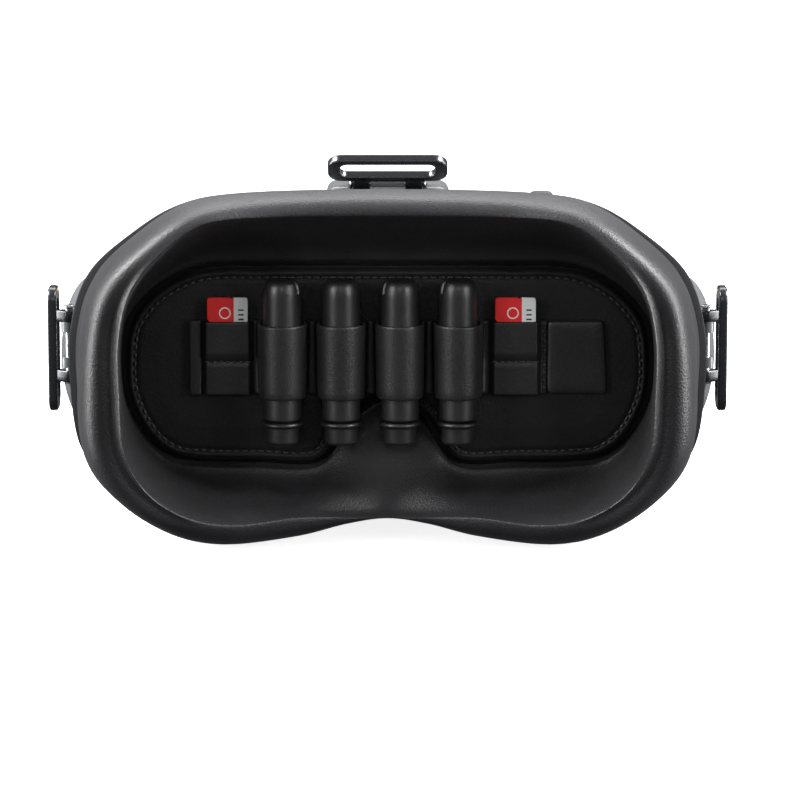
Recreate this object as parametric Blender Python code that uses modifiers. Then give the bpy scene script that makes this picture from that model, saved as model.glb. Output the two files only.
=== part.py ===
"""FPV goggles with a face foam, a storage pad, four antennas, two memory cards and three strap buckles.

Sizes are in millimetres and MM turns them into metres when a mesh is made.
+X runs towards the wearer's right ear, +Y from the face towards the visor, +Z up.
The origin is on the table, in the middle of the object's box.
"""

import math

import bmesh
import bpy
import numpy as np
from mathutils import Matrix, Vector

MM = 0.001
GAP = 0.3                 # clearance between touching pieces
SPAN_STEPS = 2            # points between two stations of the face outline
TURN_STEPS = 16           # sides of a turned piece
SMOOTH_ANGLE = math.radians(35)

# Face foam: depths along Y, and the stations of its half outline.
FOAM_BACK_Y = -24.3
FOAM_WIDEST_Y = -38.0
FOAM_MOUTH_Y = -30.0

# One row for each station from the brow down to the nose arch:
# outer x, z | ridge x, y, z | mouth x, z
STATIONS = (
    (0.0, 98.7, 0.0, -50.0, 94.0, 0.0, 76.9),
    (38.0, 97.8, 29.0, -51.5, 93.9, 33.0, 76.9),
    (56.0, 94.4, 49.0, -55.5, 91.8, 51.0, 76.3),
    (70.0, 85.4, 62.0, -59.0, 83.0, 63.0, 71.0),
    (80.8, 74.6, 70.0, -60.85, 72.7, 71.0, 62.5),
    (85.5, 60.5, 73.3, -60.85, 60.0, 73.4, 54.0),
    (86.1, 44.0, 73.5, -60.5, 44.5, 73.1, 40.0),
    (83.5, 24.5, 71.0, -59.0, 29.0, 67.5, 28.0),
    (74.0, 12.2, 64.5, -57.5, 17.3, 60.0, 21.8),
    (60.0, 3.3, 54.0, -56.0, 10.5, 51.0, 20.3),
    (45.0, 0.0, 41.0, -53.5, 8.2, 36.0, 20.1),
    (25.0, 1.8, 25.0, -48.0, 9.1, 18.5, 20.4),
    (11.0, 5.2, 10.0, -42.5, 8.0, 10.3, 32.0),
    (0.0, 6.7, 0.0, -40.0, 7.5, 0.0, 38.7),
)

# Shell: backing rim, housing and visor.
RIM_WIDEN = 1.024
RIM_HEIGHT = 0.966
RIM_LIFT = 0.8
BACKING_BACK_Y = -24.0
BACKING_FRONT_Y = -21.5
HOUSING_Y = (-20.7, -10.0, 4.0, 20.0, 34.0)
HOUSING_FULL_Y = 20.0
HOUSING_INSET = 1.3
WALL = 2.2
FRONT_MIDDLE_Z = 43.5
VISOR_Y = (34.6, 48.0, 56.0, 60.0, 61.0)
VISOR_SCALE = (1.0, 0.97, 0.89, 0.76, 0.55)

# The front outline of the shell, station by station with the face outline.
FRONT_STATIONS = (
    (0.0, 87.0), (36.0, 86.6), (55.0, 84.3), (67.0, 77.5), (74.5, 68.5), (78.0, 57.5), (78.5, 42.0),
    (75.5, 25.0), (67.0, 12.5), (56.0, 3.5), (45.0, 0.0), (25.0, 0.0), (11.0, 0.8), (0.0, 1.2),
)

# Storage pad and its band.
PAD_FRONT_Y = -30.0
PAD_BACK_Y = -24.3
PAD_CLEARANCE = 1.5
BAND_LEFT = -54.4
BAND_RIGHT = 60.1
BAND_BOTTOM = 40.5
BAND_TOP = 61.0
BAND_THICKNESS = 1.6
SLEEVE_RADIUS = 6.8
ANTENNA_X = (-28.8, -12.7, 3.4, 19.4)
ANTENNA_Y = -37.0
ANTENNA_RADIUS = 5.2
ANTENNA_TOP = 73.3
ANTENNA_FOOT = 34.3
NUT_RING_RADIUS = 5.7
NUT_RADIUS = 4.6
NUT_BOTTOM = 27.7
CARD_WIDTH = 11.2
CARD_HEIGHT = 15.0
CARD_THICKNESS = 1.0
CARD_TOP = 67.6
CARD_X = {"card_left": -43.9, "card_right": 35.1}
CARD_Y = -32.6
POCKET_HALF_WIDTH = 7.4
POCKET_FRONT_Y = -34.1

# Strap buckles.
LOOP_WIDTH = 34.2
LOOP_LENGTH = 10.8
LOOP_THICKNESS = 2.5
LOOP_BAR = 2.2
ARM_INNER = 6.8           # from the loop's middle to an arm's near side, on the side buckles
ARM_WIDTH = 3.3
PIN_RADIUS = 1.1
EYE_RADIUS = 2.3
SIDE_PIN = (89.0, -12.6)
SIDE_LOOP_Z = 51.4
SIDE_SPLAY = math.radians(7)
TOP_PIN = (-8.5, 96.2)
TOP_LEAN = math.radians(38)

# Optics.
LENS_X = 32.0
LENS_Z = 50.0
BARREL_RADIUS = 19.5
BARREL_WALL = 1.5
BARREL_BACK_Y = -20.4
BARREL_FRONT_Y = -2.0
ROD_Y = -8.0
ROD_RADIUS = 1.5
ROD_Z = {"upper_guide_rod": 73.0, "lower_guide_rod": 27.0}
ROD_HALF_LENGTH = 60.0
SLIDE_TRAVEL = 3.0

# Cooling, board, sockets and buttons.
FAN_SIDE = 30.0
FAN_RADIUS = 13.6
FAN_Y = (8.0, 15.0)
BOARD_Y = 29.0
PANEL_Y = 27.0            # the row of buttons, sockets and ports
CONNECTOR_Z = (60.0, 30.0)
CONNECTOR_X = 78.2
PORTS = {                 # side, height, half width along Y, half height
    "usb_port": (-1, 40.0, 4.8, 1.9),
    "card_reader": (-1, 50.0, 6.2, 1.3),
    "power_port": (1, 39.0, 3.8, 3.8),
    "av_port": (1, 51.0, 3.2, 3.2),
}
BUTTON_RADIUS = {"shortcut_button": 3.2, "back_button": 3.2, "record_button": 3.2, "link_button": 2.2}
BUTTON_X = {"shortcut_button": 16.0, "back_button": 28.0, "record_button": -16.0, "link_button": -28.0}
BUTTON_TOP = 88.1
STICK_X = 44.0
STICK_PIVOT_Z = 82.0


# ---------------------------------------------------------------- scene and materials

for old in list(bpy.data.objects):
    bpy.data.objects.remove(old, do_unlink=True)

PARTS = bpy.data.collections.new("fpv_goggles")
CUTTERS = bpy.data.collections.new("cutters")
bpy.context.scene.collection.children.link(PARTS)
bpy.context.scene.collection.children.link(CUTTERS)


def material(name, colour, roughness, metallic=0.0):
    """A Principled material with one colour."""
    made = bpy.data.materials.new(name)
    made.use_nodes = True
    shader = made.node_tree.nodes["Principled BSDF"]
    shader.inputs["Base Color"].default_value = (*colour, 1.0)
    shader.inputs["Roughness"].default_value = roughness
    shader.inputs["Metallic"].default_value = metallic
    return made


LEATHER = material("black leather", (0.022, 0.022, 0.024), 0.55)
PAD_LEATHER = material("pad leather", (0.028, 0.028, 0.030), 0.6)
SHELL = material("black shell", (0.030, 0.030, 0.033), 0.42)
GLOSS = material("gloss black", (0.012, 0.012, 0.014), 0.12)
GREY = material("grey shell", (0.30, 0.31, 0.33), 0.38)
DARK_METAL = material("dark anodised metal", (0.08, 0.08, 0.09), 0.32, 0.9)
STEEL = material("steel", (0.62, 0.63, 0.65), 0.25, 1.0)
BRASS = material("gilt brass", (0.72, 0.53, 0.22), 0.28, 1.0)
RADOME = material("antenna shell", (0.035, 0.036, 0.040), 0.38)
GLASS = material("lens glass", (0.60, 0.65, 0.72), 0.05)
BOARD = material("circuit board", (0.02, 0.10, 0.05), 0.5)
ALUMINIUM = material("aluminium", (0.70, 0.71, 0.73), 0.35, 0.9)
CARD = material("memory card", (0.62, 0.05, 0.05), 0.4)
RUBBER = material("rubber", (0.05, 0.05, 0.055), 0.7)


# ---------------------------------------------------------------- modelling tools

def finish(obj, paint, collection=PARTS, smooth=True):
    """Link an object, paint it and shade its round faces smooth."""
    obj.data.materials.clear()
    obj.data.materials.append(paint)
    collection.objects.link(obj)
    if smooth:
        obj.data.shade_smooth()
        obj.data.set_sharp_from_angle(angle=SMOOTH_ANGLE)
    return obj


def mesh_object(name, form, paint, collection=PARTS, closed=True):
    """Turn a bmesh in millimetres into an object in metres; an open surface keeps its own facing."""
    bmesh.ops.scale(form, vec=(MM, MM, MM), verts=form.verts)
    if closed:
        bmesh.ops.recalc_face_normals(form, faces=form.faces)
    mesh = bpy.data.meshes.new(name)
    form.to_mesh(mesh)
    form.free()
    return finish(bpy.data.objects.new(name, mesh), paint, collection)


def set_origin(obj, point):
    """Move an object's origin to a point in millimetres without moving its shape."""
    target = Vector(point) * MM
    obj.data.transform(Matrix.Translation(obj.location - target))
    obj.location = target
    return obj


def skin(name, rings, paint, wrap=False, start_cap=False, end_cap=False, collection=PARTS):
    """Faces between closed rings of points, in order; wrap joins the last ring to the first.

    Each cell is split along its shorter diagonal, so that both halves of a mirrored shape match.
    """
    rings = np.asarray(rings)
    count, around = rings.shape[:2]
    form = bmesh.new()
    verts = [form.verts.new(point) for point in rings.reshape(-1, 3)]
    last = count if wrap else count - 1
    for i in range(last):
        for j in range(around):
            a = i * around + j
            b = i * around + (j + 1) % around
            c = ((i + 1) % count) * around + (j + 1) % around
            d = ((i + 1) % count) * around + j
            form.faces.new((verts[a], verts[b], verts[c], verts[d]))
    bmesh.ops.triangulate(form, faces=form.faces[:], quad_method="SHORT_EDGE")
    if start_cap:
        form.faces.new(verts[:around])
    if end_cap:
        form.faces.new(verts[-around:])
    closed = wrap or (start_cap and end_cap)
    return mesh_object(name, form, paint, collection, closed)


def box(name, low, high, paint, bevel=0.0, collection=PARTS):
    """A box between two corners, with its edges rounded by bevel."""
    low, high = Vector(low), Vector(high)
    form = bmesh.new()
    size = high - low
    matrix = Matrix.Translation((low + high) / 2) @ Matrix.Diagonal((*size, 1.0))
    bmesh.ops.create_cube(form, size=1.0, matrix=matrix)
    obj = mesh_object(name, form, paint, collection)
    if bevel:
        round_edges(obj, bevel)
    return obj


def round_edges(obj, width, segments=2):
    """Round an object's sharp edges."""
    bevel = obj.modifiers.new("rounded edges", "BEVEL")
    bevel.width = width * MM
    bevel.segments = segments
    bevel.limit_method = "ANGLE"
    bevel.angle_limit = math.radians(40)
    return obj


def rod(name, start, end, radius, paint, sides=TURN_STEPS, collection=PARTS):
    """A cylinder from one point to another."""
    start, end = Vector(start), Vector(end)
    along = end - start
    form = bmesh.new()
    turn = along.to_track_quat("Z", "Y").to_matrix().to_4x4()
    matrix = Matrix.Translation((start + end) / 2) @ turn
    bmesh.ops.create_cone(form, cap_ends=True, segments=sides, radius1=radius, radius2=radius,
                          depth=along.length, matrix=matrix)
    return mesh_object(name, form, paint, collection)


def turned(name, profile, origin, paint, turn=(0.0, 0.0, 0.0), closed=False, sides=TURN_STEPS,
           collection=PARTS):
    """A profile of (radius, height) from the top down, turned about the object's own Z axis."""
    mesh = bpy.data.meshes.new(name)
    verts = [(radius * MM, 0.0, height * MM) for radius, height in profile]
    edges = [(i, i + 1) for i in range(len(verts) - 1)]
    if closed:
        edges.append((len(verts) - 1, 0))
    mesh.from_pydata(verts, edges, [])
    obj = bpy.data.objects.new(name, mesh)
    screw = obj.modifiers.new("turned", "SCREW")
    screw.steps = sides
    screw.render_steps = sides
    screw.use_merge_vertices = True
    screw.merge_threshold = 0.00001
    screw.use_smooth_shade = True
    obj.location = Vector(origin) * MM
    obj.rotation_euler = turn
    return finish(obj, paint, collection, smooth=False)


TURN_TO_Y = (math.radians(-90), 0.0, 0.0)
AXIS_TURN = {
    "Z": Matrix.Identity(4),
    "Y": Matrix.Rotation(math.radians(90), 4, "X"),
    "X": Matrix(((0, 0, 1, 0), (1, 0, 0, 0), (0, 1, 0, 0), (0, 0, 0, 1))),
}


def plate(name, outlines, low, high, axis, paint, collection=PARTS):
    """A flat outline, with any holes as more outlines, thickened from low to high along an axis.

    The outline's two numbers are X and Y along Z, X and Z along Y, and Y and Z along X.
    """
    curve = bpy.data.curves.new(name, "CURVE")
    curve.dimensions = "2D"
    curve.fill_mode = "BOTH"
    curve.extrude = (high - low) / 2 * MM
    for outline in outlines:
        spline = curve.splines.new("POLY")
        spline.points.add(len(outline) - 1)
        for point, (u, v) in zip(spline.points, outline):
            point.co = (u * MM, v * MM, 0.0, 1.0)
        spline.use_cyclic_u = True
    source = bpy.data.objects.new(name + " outline", curve)
    CUTTERS.objects.link(source)
    depsgraph = bpy.context.evaluated_depsgraph_get()
    mesh = bpy.data.meshes.new_from_object(source.evaluated_get(depsgraph))
    bpy.data.objects.remove(source, do_unlink=True)
    form = bmesh.new()
    form.from_mesh(mesh)
    bmesh.ops.remove_doubles(form, verts=form.verts, dist=0.000001)
    middle = {"Z": (0, 0, 1), "Y": (0, 1, 0), "X": (1, 0, 0)}[axis]
    shift = Matrix.Translation(Vector(middle) * (low + high) / 2 * MM)
    bmesh.ops.transform(form, matrix=shift @ AXIS_TURN[axis], verts=form.verts)
    bmesh.ops.recalc_face_normals(form, faces=form.faces)
    form.to_mesh(mesh)
    form.free()
    mesh.name = name
    return finish(bpy.data.objects.new(name, mesh), paint, collection)


def as_cutter(obj):
    """Keep an object only as the second half of a Boolean."""
    for collection in list(obj.users_collection):
        collection.objects.unlink(obj)
    CUTTERS.objects.link(obj)
    obj.hide_render = True
    obj.display_type = "WIRE"
    return obj


def combine(obj, other, operation, solver="EXACT"):
    """Cut another object from this one, or join it on."""
    as_cutter(other)
    boolean = obj.modifiers.new(other.name, "BOOLEAN")
    boolean.operation = operation
    boolean.solver = solver
    boolean.object = other
    return obj


def cut(obj, other):
    """Take another object's shape out of this one."""
    return combine(obj, other, "DIFFERENCE")


def join(obj, other):
    """Make another object's shape part of this one."""
    return combine(obj, other, "UNION")


def arc(centre, radius, start, stop, steps):
    """Points on an arc, in degrees."""
    angles = np.radians(np.linspace(start, stop, steps + 1))
    return [(centre[0] + radius * math.cos(a), centre[1] + radius * math.sin(a)) for a in angles]


def circle(centre, radius, steps=TURN_STEPS):
    """Points round a circle."""
    return arc(centre, radius, 0, 360, steps)[:-1]


def rounded_rectangle(low, high, radius, steps=4):
    """Points round a rectangle with rounded corners."""
    (x0, y0), (x1, y1) = low, high
    corners = (((x1 - radius, y1 - radius), 0), ((x0 + radius, y1 - radius), 90),
               ((x0 + radius, y0 + radius), 180), ((x1 - radius, y0 + radius), 270))
    points = []
    for centre, start in corners:
        points += arc(centre, radius, start, start + 90, steps)
    return points


# ---------------------------------------------------------------- outlines of the face and the shell

def full_outline(half):
    """A closed smooth curve through a half outline and its mirror image (Catmull-Rom spans)."""
    half = np.asarray(half, dtype=float)
    mirrored = half[-2:0:-1] * np.array([-1.0] + [1.0] * (half.shape[1] - 1))
    knots = np.vstack((half, mirrored))
    before, after, beyond = np.roll(knots, 1, 0), np.roll(knots, -1, 0), np.roll(knots, -2, 0)
    t = (np.arange(SPAN_STEPS) / SPAN_STEPS)[None, :, None]
    p0, p1, p2, p3 = (k[:, None, :] for k in (before, knots, after, beyond))
    curve = 0.5 * (2 * p1 + (p2 - p0) * t + (2 * p0 - 5 * p1 + 4 * p2 - p3) * t ** 2
                   + (3 * p1 - p0 - 3 * p2 + p3) * t ** 3)
    return curve.reshape(-1, half.shape[1])


def grow(outline, distance):
    """Move a closed (x, z) outline outwards along its normals."""
    tangent = np.roll(outline, -1, 0) - np.roll(outline, 1, 0)
    tangent /= np.linalg.norm(tangent, axis=1)[:, None]
    outward = np.column_stack((-tangent[:, 1], tangent[:, 0]))
    return outline + outward * distance


def ring(outline, y):
    """A closed (x, z) outline at one depth."""
    depth = np.broadcast_to(y, len(outline))
    return np.column_stack((outline[:, 0], depth, outline[:, 1]))


TABLE = np.asarray(STATIONS)
OUTER = full_outline(TABLE[:, 0:2])
OUTER[:, 1] = np.maximum(OUTER[:, 1], 0.0)
RIDGE = full_outline(TABLE[:, 2:5])
MOUTH = full_outline(TABLE[:, 5:7])
RIM = OUTER * (RIM_WIDEN, RIM_HEIGHT) + (0.0, RIM_LIFT)
FRONT = full_outline(FRONT_STATIONS)
FRONT[:, 1] = np.maximum(FRONT[:, 1], 0.0)


def shell_outline(y, growth=0.0):
    """The housing's outer outline at a depth: the rim easing into the front outline."""
    t = np.clip((y - HOUSING_Y[0]) / (HOUSING_FULL_Y - HOUSING_Y[0]), 0.0, 1.0)
    blend = t * t * (3.0 - 2.0 * t)
    back = grow(RIM, -HOUSING_INSET)
    outline = back * (1.0 - blend) + FRONT * blend
    outline[:, 1] = np.maximum(outline[:, 1], 0.0)
    return grow(outline, growth) if growth else outline


# ---------------------------------------------------------------- face foam and its backing

def make_face_foam():
    """The foam ring: base, outer roll, shallow valley, ridge and inner wall at every station."""
    xz = (0, 2)
    ridge_xz = RIDGE[:, xz]
    ridge_y = RIDGE[:, 1]
    depth = ridge_y - FOAM_WIDEST_Y
    base = grow(RIM, -2.0)
    nose = np.exp(-(MOUTH[:, 0] / 16.0) ** 2) * (MOUTH[:, 1] < 50.0)

    def roll(share, forward):
        return ring(OUTER + (ridge_xz - OUTER) * share, FOAM_WIDEST_Y + depth * forward)

    def wall(share, back):
        y = ridge_y + (FOAM_MOUTH_Y - ridge_y) * back + nose * 2.4
        return ring(ridge_xz + (MOUTH - ridge_xz) * share, y)

    sections = [
        ring(base, FOAM_BACK_Y),
        ring((base + OUTER * 3.0) / 4.0, FOAM_WIDEST_Y + 7.0),
        ring(OUTER, FOAM_WIDEST_Y),
        roll(0.10, 0.45),
        roll(0.36, 0.82),
        roll(0.70, 0.90),
        roll(1.0, 1.0),
        wall(0.30, 0.50),
        wall(0.62, 0.90),
        ring(MOUTH, FOAM_MOUTH_Y),
        ring(grow(MOUTH, 0.6), FOAM_BACK_Y),
    ]
    skin("face_foam", sections, LEATHER, wrap=True)


def make_backing():
    """The rim plate that carries the foam."""
    mouth = grow(MOUTH, 1.0)
    sections = [ring(RIM, BACKING_BACK_Y), ring(RIM, BACKING_FRONT_Y),
                ring(mouth, BACKING_FRONT_Y), ring(mouth, BACKING_BACK_Y)]
    skin("foam_backing", sections, SHELL, wrap=True)


# ---------------------------------------------------------------- shell

def make_housing():
    """The tube-like housing, with openings for vents, buttons, sockets, ports and finger slides."""
    housing = skin("main_housing", [ring(shell_outline(y), y) for y in HOUSING_Y], SHELL)
    wall = housing.modifiers.new("wall", "SOLIDIFY")
    wall.thickness = WALL * MM
    wall.offset = -1.0
    openings = [
        box("top vent opening", (-22.3, 9.7, 80), (22.3, 22.3, 95), SHELL),
        box("bottom vent opening", (-16.3, 13.7, -5), (16.3, 30.3, 8), SHELL),
        rod("stick opening", (STICK_X, PANEL_Y, 80), (STICK_X, PANEL_Y, 95), 4.6, SHELL),
    ]
    for side in (-1, 1):
        x = side * LENS_X
        reach = 4.0 + SLIDE_TRAVEL + GAP
        openings.append(box("finger slide opening", (x - reach, ROD_Y - 3.8, -5), (x + reach, ROD_Y + 3.8, 9), SHELL))
        for z in CONNECTOR_Z:
            openings.append(rod("connector opening", (side * 70, PANEL_Y, z), (side * 90, PANEL_Y, z), 3.6, SHELL))
    for name, radius in BUTTON_RADIUS.items():
        x = BUTTON_X[name]
        openings.append(rod(name + " opening", (x, PANEL_Y, 80), (x, PANEL_Y, 95), radius + GAP, SHELL))
    for side, z, half_y, half_z in PORTS.values():
        low = (side * 80 - 8, PANEL_Y - half_y - GAP, z - half_z - GAP)
        high = (side * 80 + 8, PANEL_Y + half_y + GAP, z + half_z + GAP)
        openings.append(box("port opening", low, high, SHELL))
    for opening in openings:
        cut(housing, opening)


def make_visor():
    """The glossy cover that closes the housing, a dome with a rolled edge."""
    middle = np.array((0.0, FRONT_MIDDLE_Z))
    rings = [ring(middle + (FRONT - middle) * scale, y) for y, scale in zip(VISOR_Y, VISOR_SCALE)]
    visor = skin("front_visor", rings, GLOSS, end_cap=True)
    wall = visor.modifiers.new("wall", "SOLIDIFY")
    wall.thickness = 2.0 * MM
    wall.offset = -1.0


def slots(low, high, count, margin, bar):
    """A row of equal slots that fills a rectangle."""
    pitch = (high[0] - low[0] - 2 * margin + bar) / count
    outlines = []
    for i in range(count):
        x = low[0] + margin + i * pitch
        outlines.append([(x, low[1] + margin), (x + pitch - bar, low[1] + margin),
                         (x + pitch - bar, high[1] - margin), (x, high[1] - margin)])
    return outlines


def make_grilles():
    """Two slotted plates set into the top and the bottom of the shell."""
    for name, half, y0, y1, low, high in (("top_vent_grille", 22.0, 10.0, 22.0, 84.6, 86.4),
                                          ("bottom_vent_grille", 16.0, 14.0, 30.0, 1.4, 3.4)):
        corners = ((-half, y0), (half, y1))
        outline = rounded_rectangle(*corners, 1.0, 2)
        count = int(half / 2.2)
        plate(name, [outline] + slots(*corners, count, 1.8, 1.6), low, high, "Z", SHELL)


# ---------------------------------------------------------------- strap buckles

def make_loop(name, reach):
    """A strap loop lying flat, its width along X and its near bar at a distance along Y."""
    half = LOOP_WIDTH / 2
    outer = rounded_rectangle((-half, reach), (half, reach + LOOP_LENGTH), 3.8)
    inner = rounded_rectangle((-half + LOOP_BAR * 1.6, reach + LOOP_BAR),
                              (half - LOOP_BAR * 1.6, reach + LOOP_LENGTH - LOOP_BAR), 2.2)
    return plate(name, [outer, inner], -LOOP_THICKNESS / 2, LOOP_THICKNESS / 2, "Z", DARK_METAL)


def add_arms(loop, arms, place, pin_offset, near_bar):
    """Join arms with drilled eyes to a loop; place turns loop coordinates into the world."""
    for low, high in arms:
        middle = (low + high) / 2
        arm_outline = arm_shape(pin_offset, near_bar)
        arm = plate("arm", [arm_outline], low, high, "X", DARK_METAL)
        arm.matrix_world = place
        join(loop, arm)
        eye = rod("eye", (low, *pin_offset), (high, *pin_offset), EYE_RADIUS, DARK_METAL, 12)
        eye.matrix_world = place
        join(loop, eye)
        hole = rod("eye hole", (middle - 4, *pin_offset), (middle + 4, *pin_offset), PIN_RADIUS + GAP,
                   DARK_METAL, 12)
        hole.matrix_world = place
        cut(loop, hole)


def arm_shape(pin_offset, near_bar):
    """An arm's side view: a straight link from the pin to the loop's near bar."""
    start = Vector(pin_offset)
    end = Vector(near_bar)
    along = (end - start).normalized()
    across = Vector((-along.y, along.x)) * (EYE_RADIUS * 0.8)
    return [tuple(start - across), tuple(end - across), tuple(end + across), tuple(start + across)]


def make_side_buckle(side_name, side):
    """A side loop on its upright pin, and the pod on the shell that holds the pin."""
    pin_x, pin_y = side * SIDE_PIN[0], SIDE_PIN[1]
    # Loop coordinates: X up the pin, Y away from the pin, Z out from the shell.
    out = Vector((side * math.cos(SIDE_SPLAY), math.sin(SIDE_SPLAY), 0.0))
    away = Vector((side * math.sin(SIDE_SPLAY), -math.cos(SIDE_SPLAY), 0.0))
    up = away.cross(out)
    place = Matrix((up, away, out)).transposed().to_4x4()
    place.translation = Vector((pin_x, pin_y, SIDE_LOOP_Z)) * MM
    stand_off = 4.0
    loop = make_loop(side_name + "_loop", -2.2)
    loop.data.transform(Matrix.Translation((0.0, 0.0, stand_off * MM)))
    loop.matrix_world = place
    arms = [(ARM_INNER, ARM_INNER + ARM_WIDTH), (-ARM_INNER - ARM_WIDTH, -ARM_INNER)]
    add_arms(loop, arms, place, (0.0, 0.0), (-1.1, stand_off))
    pod = make_pod(side_name + "_bracket", (side * 82.5, 2.0, 46.5), (10.0, 13.5, 22.5))
    half = LOOP_WIDTH / 2 + 1.0
    cut(pod, rod("loop clearance", (pin_x, pin_y, SIDE_LOOP_Z - half), (pin_x, pin_y, SIDE_LOOP_Z + half),
                 6.4, GREY))
    knuckle_end = ARM_INNER - GAP
    for sign in (-1, 1):
        ends = sorted((sign * knuckle_end, sign * (knuckle_end - 3.0)))
        low_z, high_z = SIDE_LOOP_Z + ends[0], SIDE_LOOP_Z + ends[1]
        join(pod, rod("knuckle", (pin_x, pin_y, low_z), (pin_x, pin_y, high_z), EYE_RADIUS, GREY))
        inner_x, outer_x = sorted((pin_x - side * 3.6, pin_x - side * 0.9))
        join(pod, box("knuckle web", (inner_x, pin_y, low_z), (outer_x, -3.0, high_z), GREY))
    cut(pod, rod("knuckle hole", (pin_x, pin_y, SIDE_LOOP_Z - 8), (pin_x, pin_y, SIDE_LOOP_Z + 8),
                 PIN_RADIUS + GAP, GREY, 12))
    cut(pod, shell_envelope(side_name))
    half = ARM_INNER + ARM_WIDTH + GAP
    make_pin(side_name + "_pin", (pin_x, pin_y, SIDE_LOOP_Z - half), (pin_x, pin_y, SIDE_LOOP_Z + half))


def make_top_buckle():
    """The top loop leaning back over the head, its level pin and its pod."""
    pin_y, pin_z = TOP_PIN
    # Loop coordinates: X along the pin, Y away from the pin, Z the loop's upper face.
    away = Vector((0.0, -math.cos(TOP_LEAN), math.sin(TOP_LEAN)))
    across = Vector((-1.0, 0.0, 0.0))
    face = across.cross(away)
    place = Matrix((across, away, face)).transposed().to_4x4()
    place.translation = Vector((0.0, pin_y, pin_z)) * MM
    loop = make_loop("top_loop", 2.7)
    loop.matrix_world = place
    add_arms(loop, [(5.0, 9.6), (-9.6, -5.0)], place, (0.0, 0.0), (3.8, 0.0))
    pod = box("top_bracket", (-17.2, -13.5, 86.0), (17.2, 7.0, 95.6), GREY, 3.0)
    for low, high in ((4.7, 11.0), (-11.0, -4.7)):
        cut(pod, rod("arm clearance", (low, pin_y, pin_z), (high, pin_y, pin_z), 5.2, GREY))
    join(pod, rod("knuckle", (-4.7, pin_y, pin_z), (4.7, pin_y, pin_z), EYE_RADIUS, GREY))
    join(pod, box("knuckle web", (-4.7, pin_y - 1.5, pin_z - 4.0), (4.7, pin_y + 1.5, pin_z - 1.0), GREY))
    cut(pod, rod("knuckle hole", (-9, pin_y, pin_z), (9, pin_y, pin_z), PIN_RADIUS + GAP, GREY, 12))
    cut(pod, shell_envelope("top"))
    make_pin("top_pin", (-9.9, pin_y, pin_z), (9.9, pin_y, pin_z))


def make_pod(name, centre, radii):
    """A smooth bulge on the shell."""
    form = bmesh.new()
    matrix = Matrix.Translation(centre) @ Matrix.Diagonal((*radii, 1.0))
    bmesh.ops.create_uvsphere(form, u_segments=18, v_segments=10, radius=1.0, matrix=matrix)
    return mesh_object(name, form, GREY)


def shell_envelope(name):
    """The shell's outer form with the clearance round it, as a cutter."""
    depths = (-30.0,) + HOUSING_Y
    rings = [ring(shell_outline(y, GAP), y) for y in depths]
    return skin(name + " shell envelope", rings, SHELL, start_cap=True, end_cap=True)


def make_pin(name, start, end):
    """A hinge pin with a small head at each end."""
    start, end = Vector(start), Vector(end)
    along = (end - start).normalized()
    pin = rod(name, start - along * 0.6, end + along * 0.6, PIN_RADIUS, STEEL, 10)
    for point, sign in ((start, -1), (end, 1)):
        join(pin, rod(name + " head", point, point + along * sign * 0.7, 1.7, STEEL, 10))


# ---------------------------------------------------------------- optics

def make_eyepiece_plate():
    """The plate behind the pad, with two windows and the posts that hold the guide rods."""
    y0, y1 = HOUSING_Y[0], HOUSING_Y[0] + 2.0
    outline = grow(shell_outline(y1), -WALL - 0.8)
    windows = []
    for side in (-1, 1):
        x = side * LENS_X
        reach = BARREL_RADIUS + GAP
        right = arc((x + SLIDE_TRAVEL + GAP, LENS_Z), reach, -90, 90, 12)
        left = arc((x - SLIDE_TRAVEL - GAP, LENS_Z), reach, 90, 270, 12)
        windows.append(right + left)
    panel = plate("eyepiece_plate", [outline.tolist()] + windows, y0, y1, "Y", SHELL)
    for side in (-1, 1):
        for z in ROD_Z.values():
            inner, outer = sorted((side * (ROD_HALF_LENGTH + GAP), side * (ROD_HALF_LENGTH + 4.0)))
            post = box("rod post", (inner, y1 - 0.7, z - 3.0), (outer, ROD_Y + 3.0, z + 3.0), SHELL)
            combine(panel, post, "UNION", "MANIFOLD")


def make_carriages():
    """Each eye's barrel, lens, display and finger slide, which move together on the rods."""
    for side_name, side in (("left", -1), ("right", 1)):
        x = side * LENS_X
        inner = BARREL_RADIUS - BARREL_WALL
        profile = ((inner, BARREL_FRONT_Y), (BARREL_RADIUS, BARREL_FRONT_Y),
                   (BARREL_RADIUS, BARREL_BACK_Y), (inner, BARREL_BACK_Y))
        barrel = turned(side_name + "_lens_barrel", profile, (x, 0.0, LENS_Z), SHELL,
                        TURN_TO_Y, closed=True, sides=24)
        for z, rod_z in ((68.8, ROD_Z["upper_guide_rod"]), (31.2, ROD_Z["lower_guide_rod"])):
            low, high = sorted((z, rod_z + math.copysign(3.0, rod_z - z)))
            join(barrel, box("rod lug", (x - 5, ROD_Y - 3, low), (x + 5, ROD_Y + 3, high), SHELL))
            cut(barrel, rod("rod hole", (x - 9, ROD_Y, rod_z), (x + 9, ROD_Y, rod_z),
                            ROD_RADIUS + GAP, SHELL, 12))
        glass_radius = inner - GAP
        lens_profile = [(0.0, -11.0), (glass_radius * 0.6, -12.0), (glass_radius, -14.2),
                        (glass_radius, -15.6), (glass_radius * 0.6, -18.2), (0.0, -19.2)]
        turned(side_name + "_lens", lens_profile, (x, 0.0, LENS_Z), GLASS, TURN_TO_Y, sides=20)
        screen_y = BARREL_FRONT_Y + GAP
        box(side_name + "_display", (x - 18, screen_y, LENS_Z - 14), (x + 18, screen_y + 3.4, LENS_Z + 14),
            GLOSS, 0.6)
        make_finger_slide(side_name, x)


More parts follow.
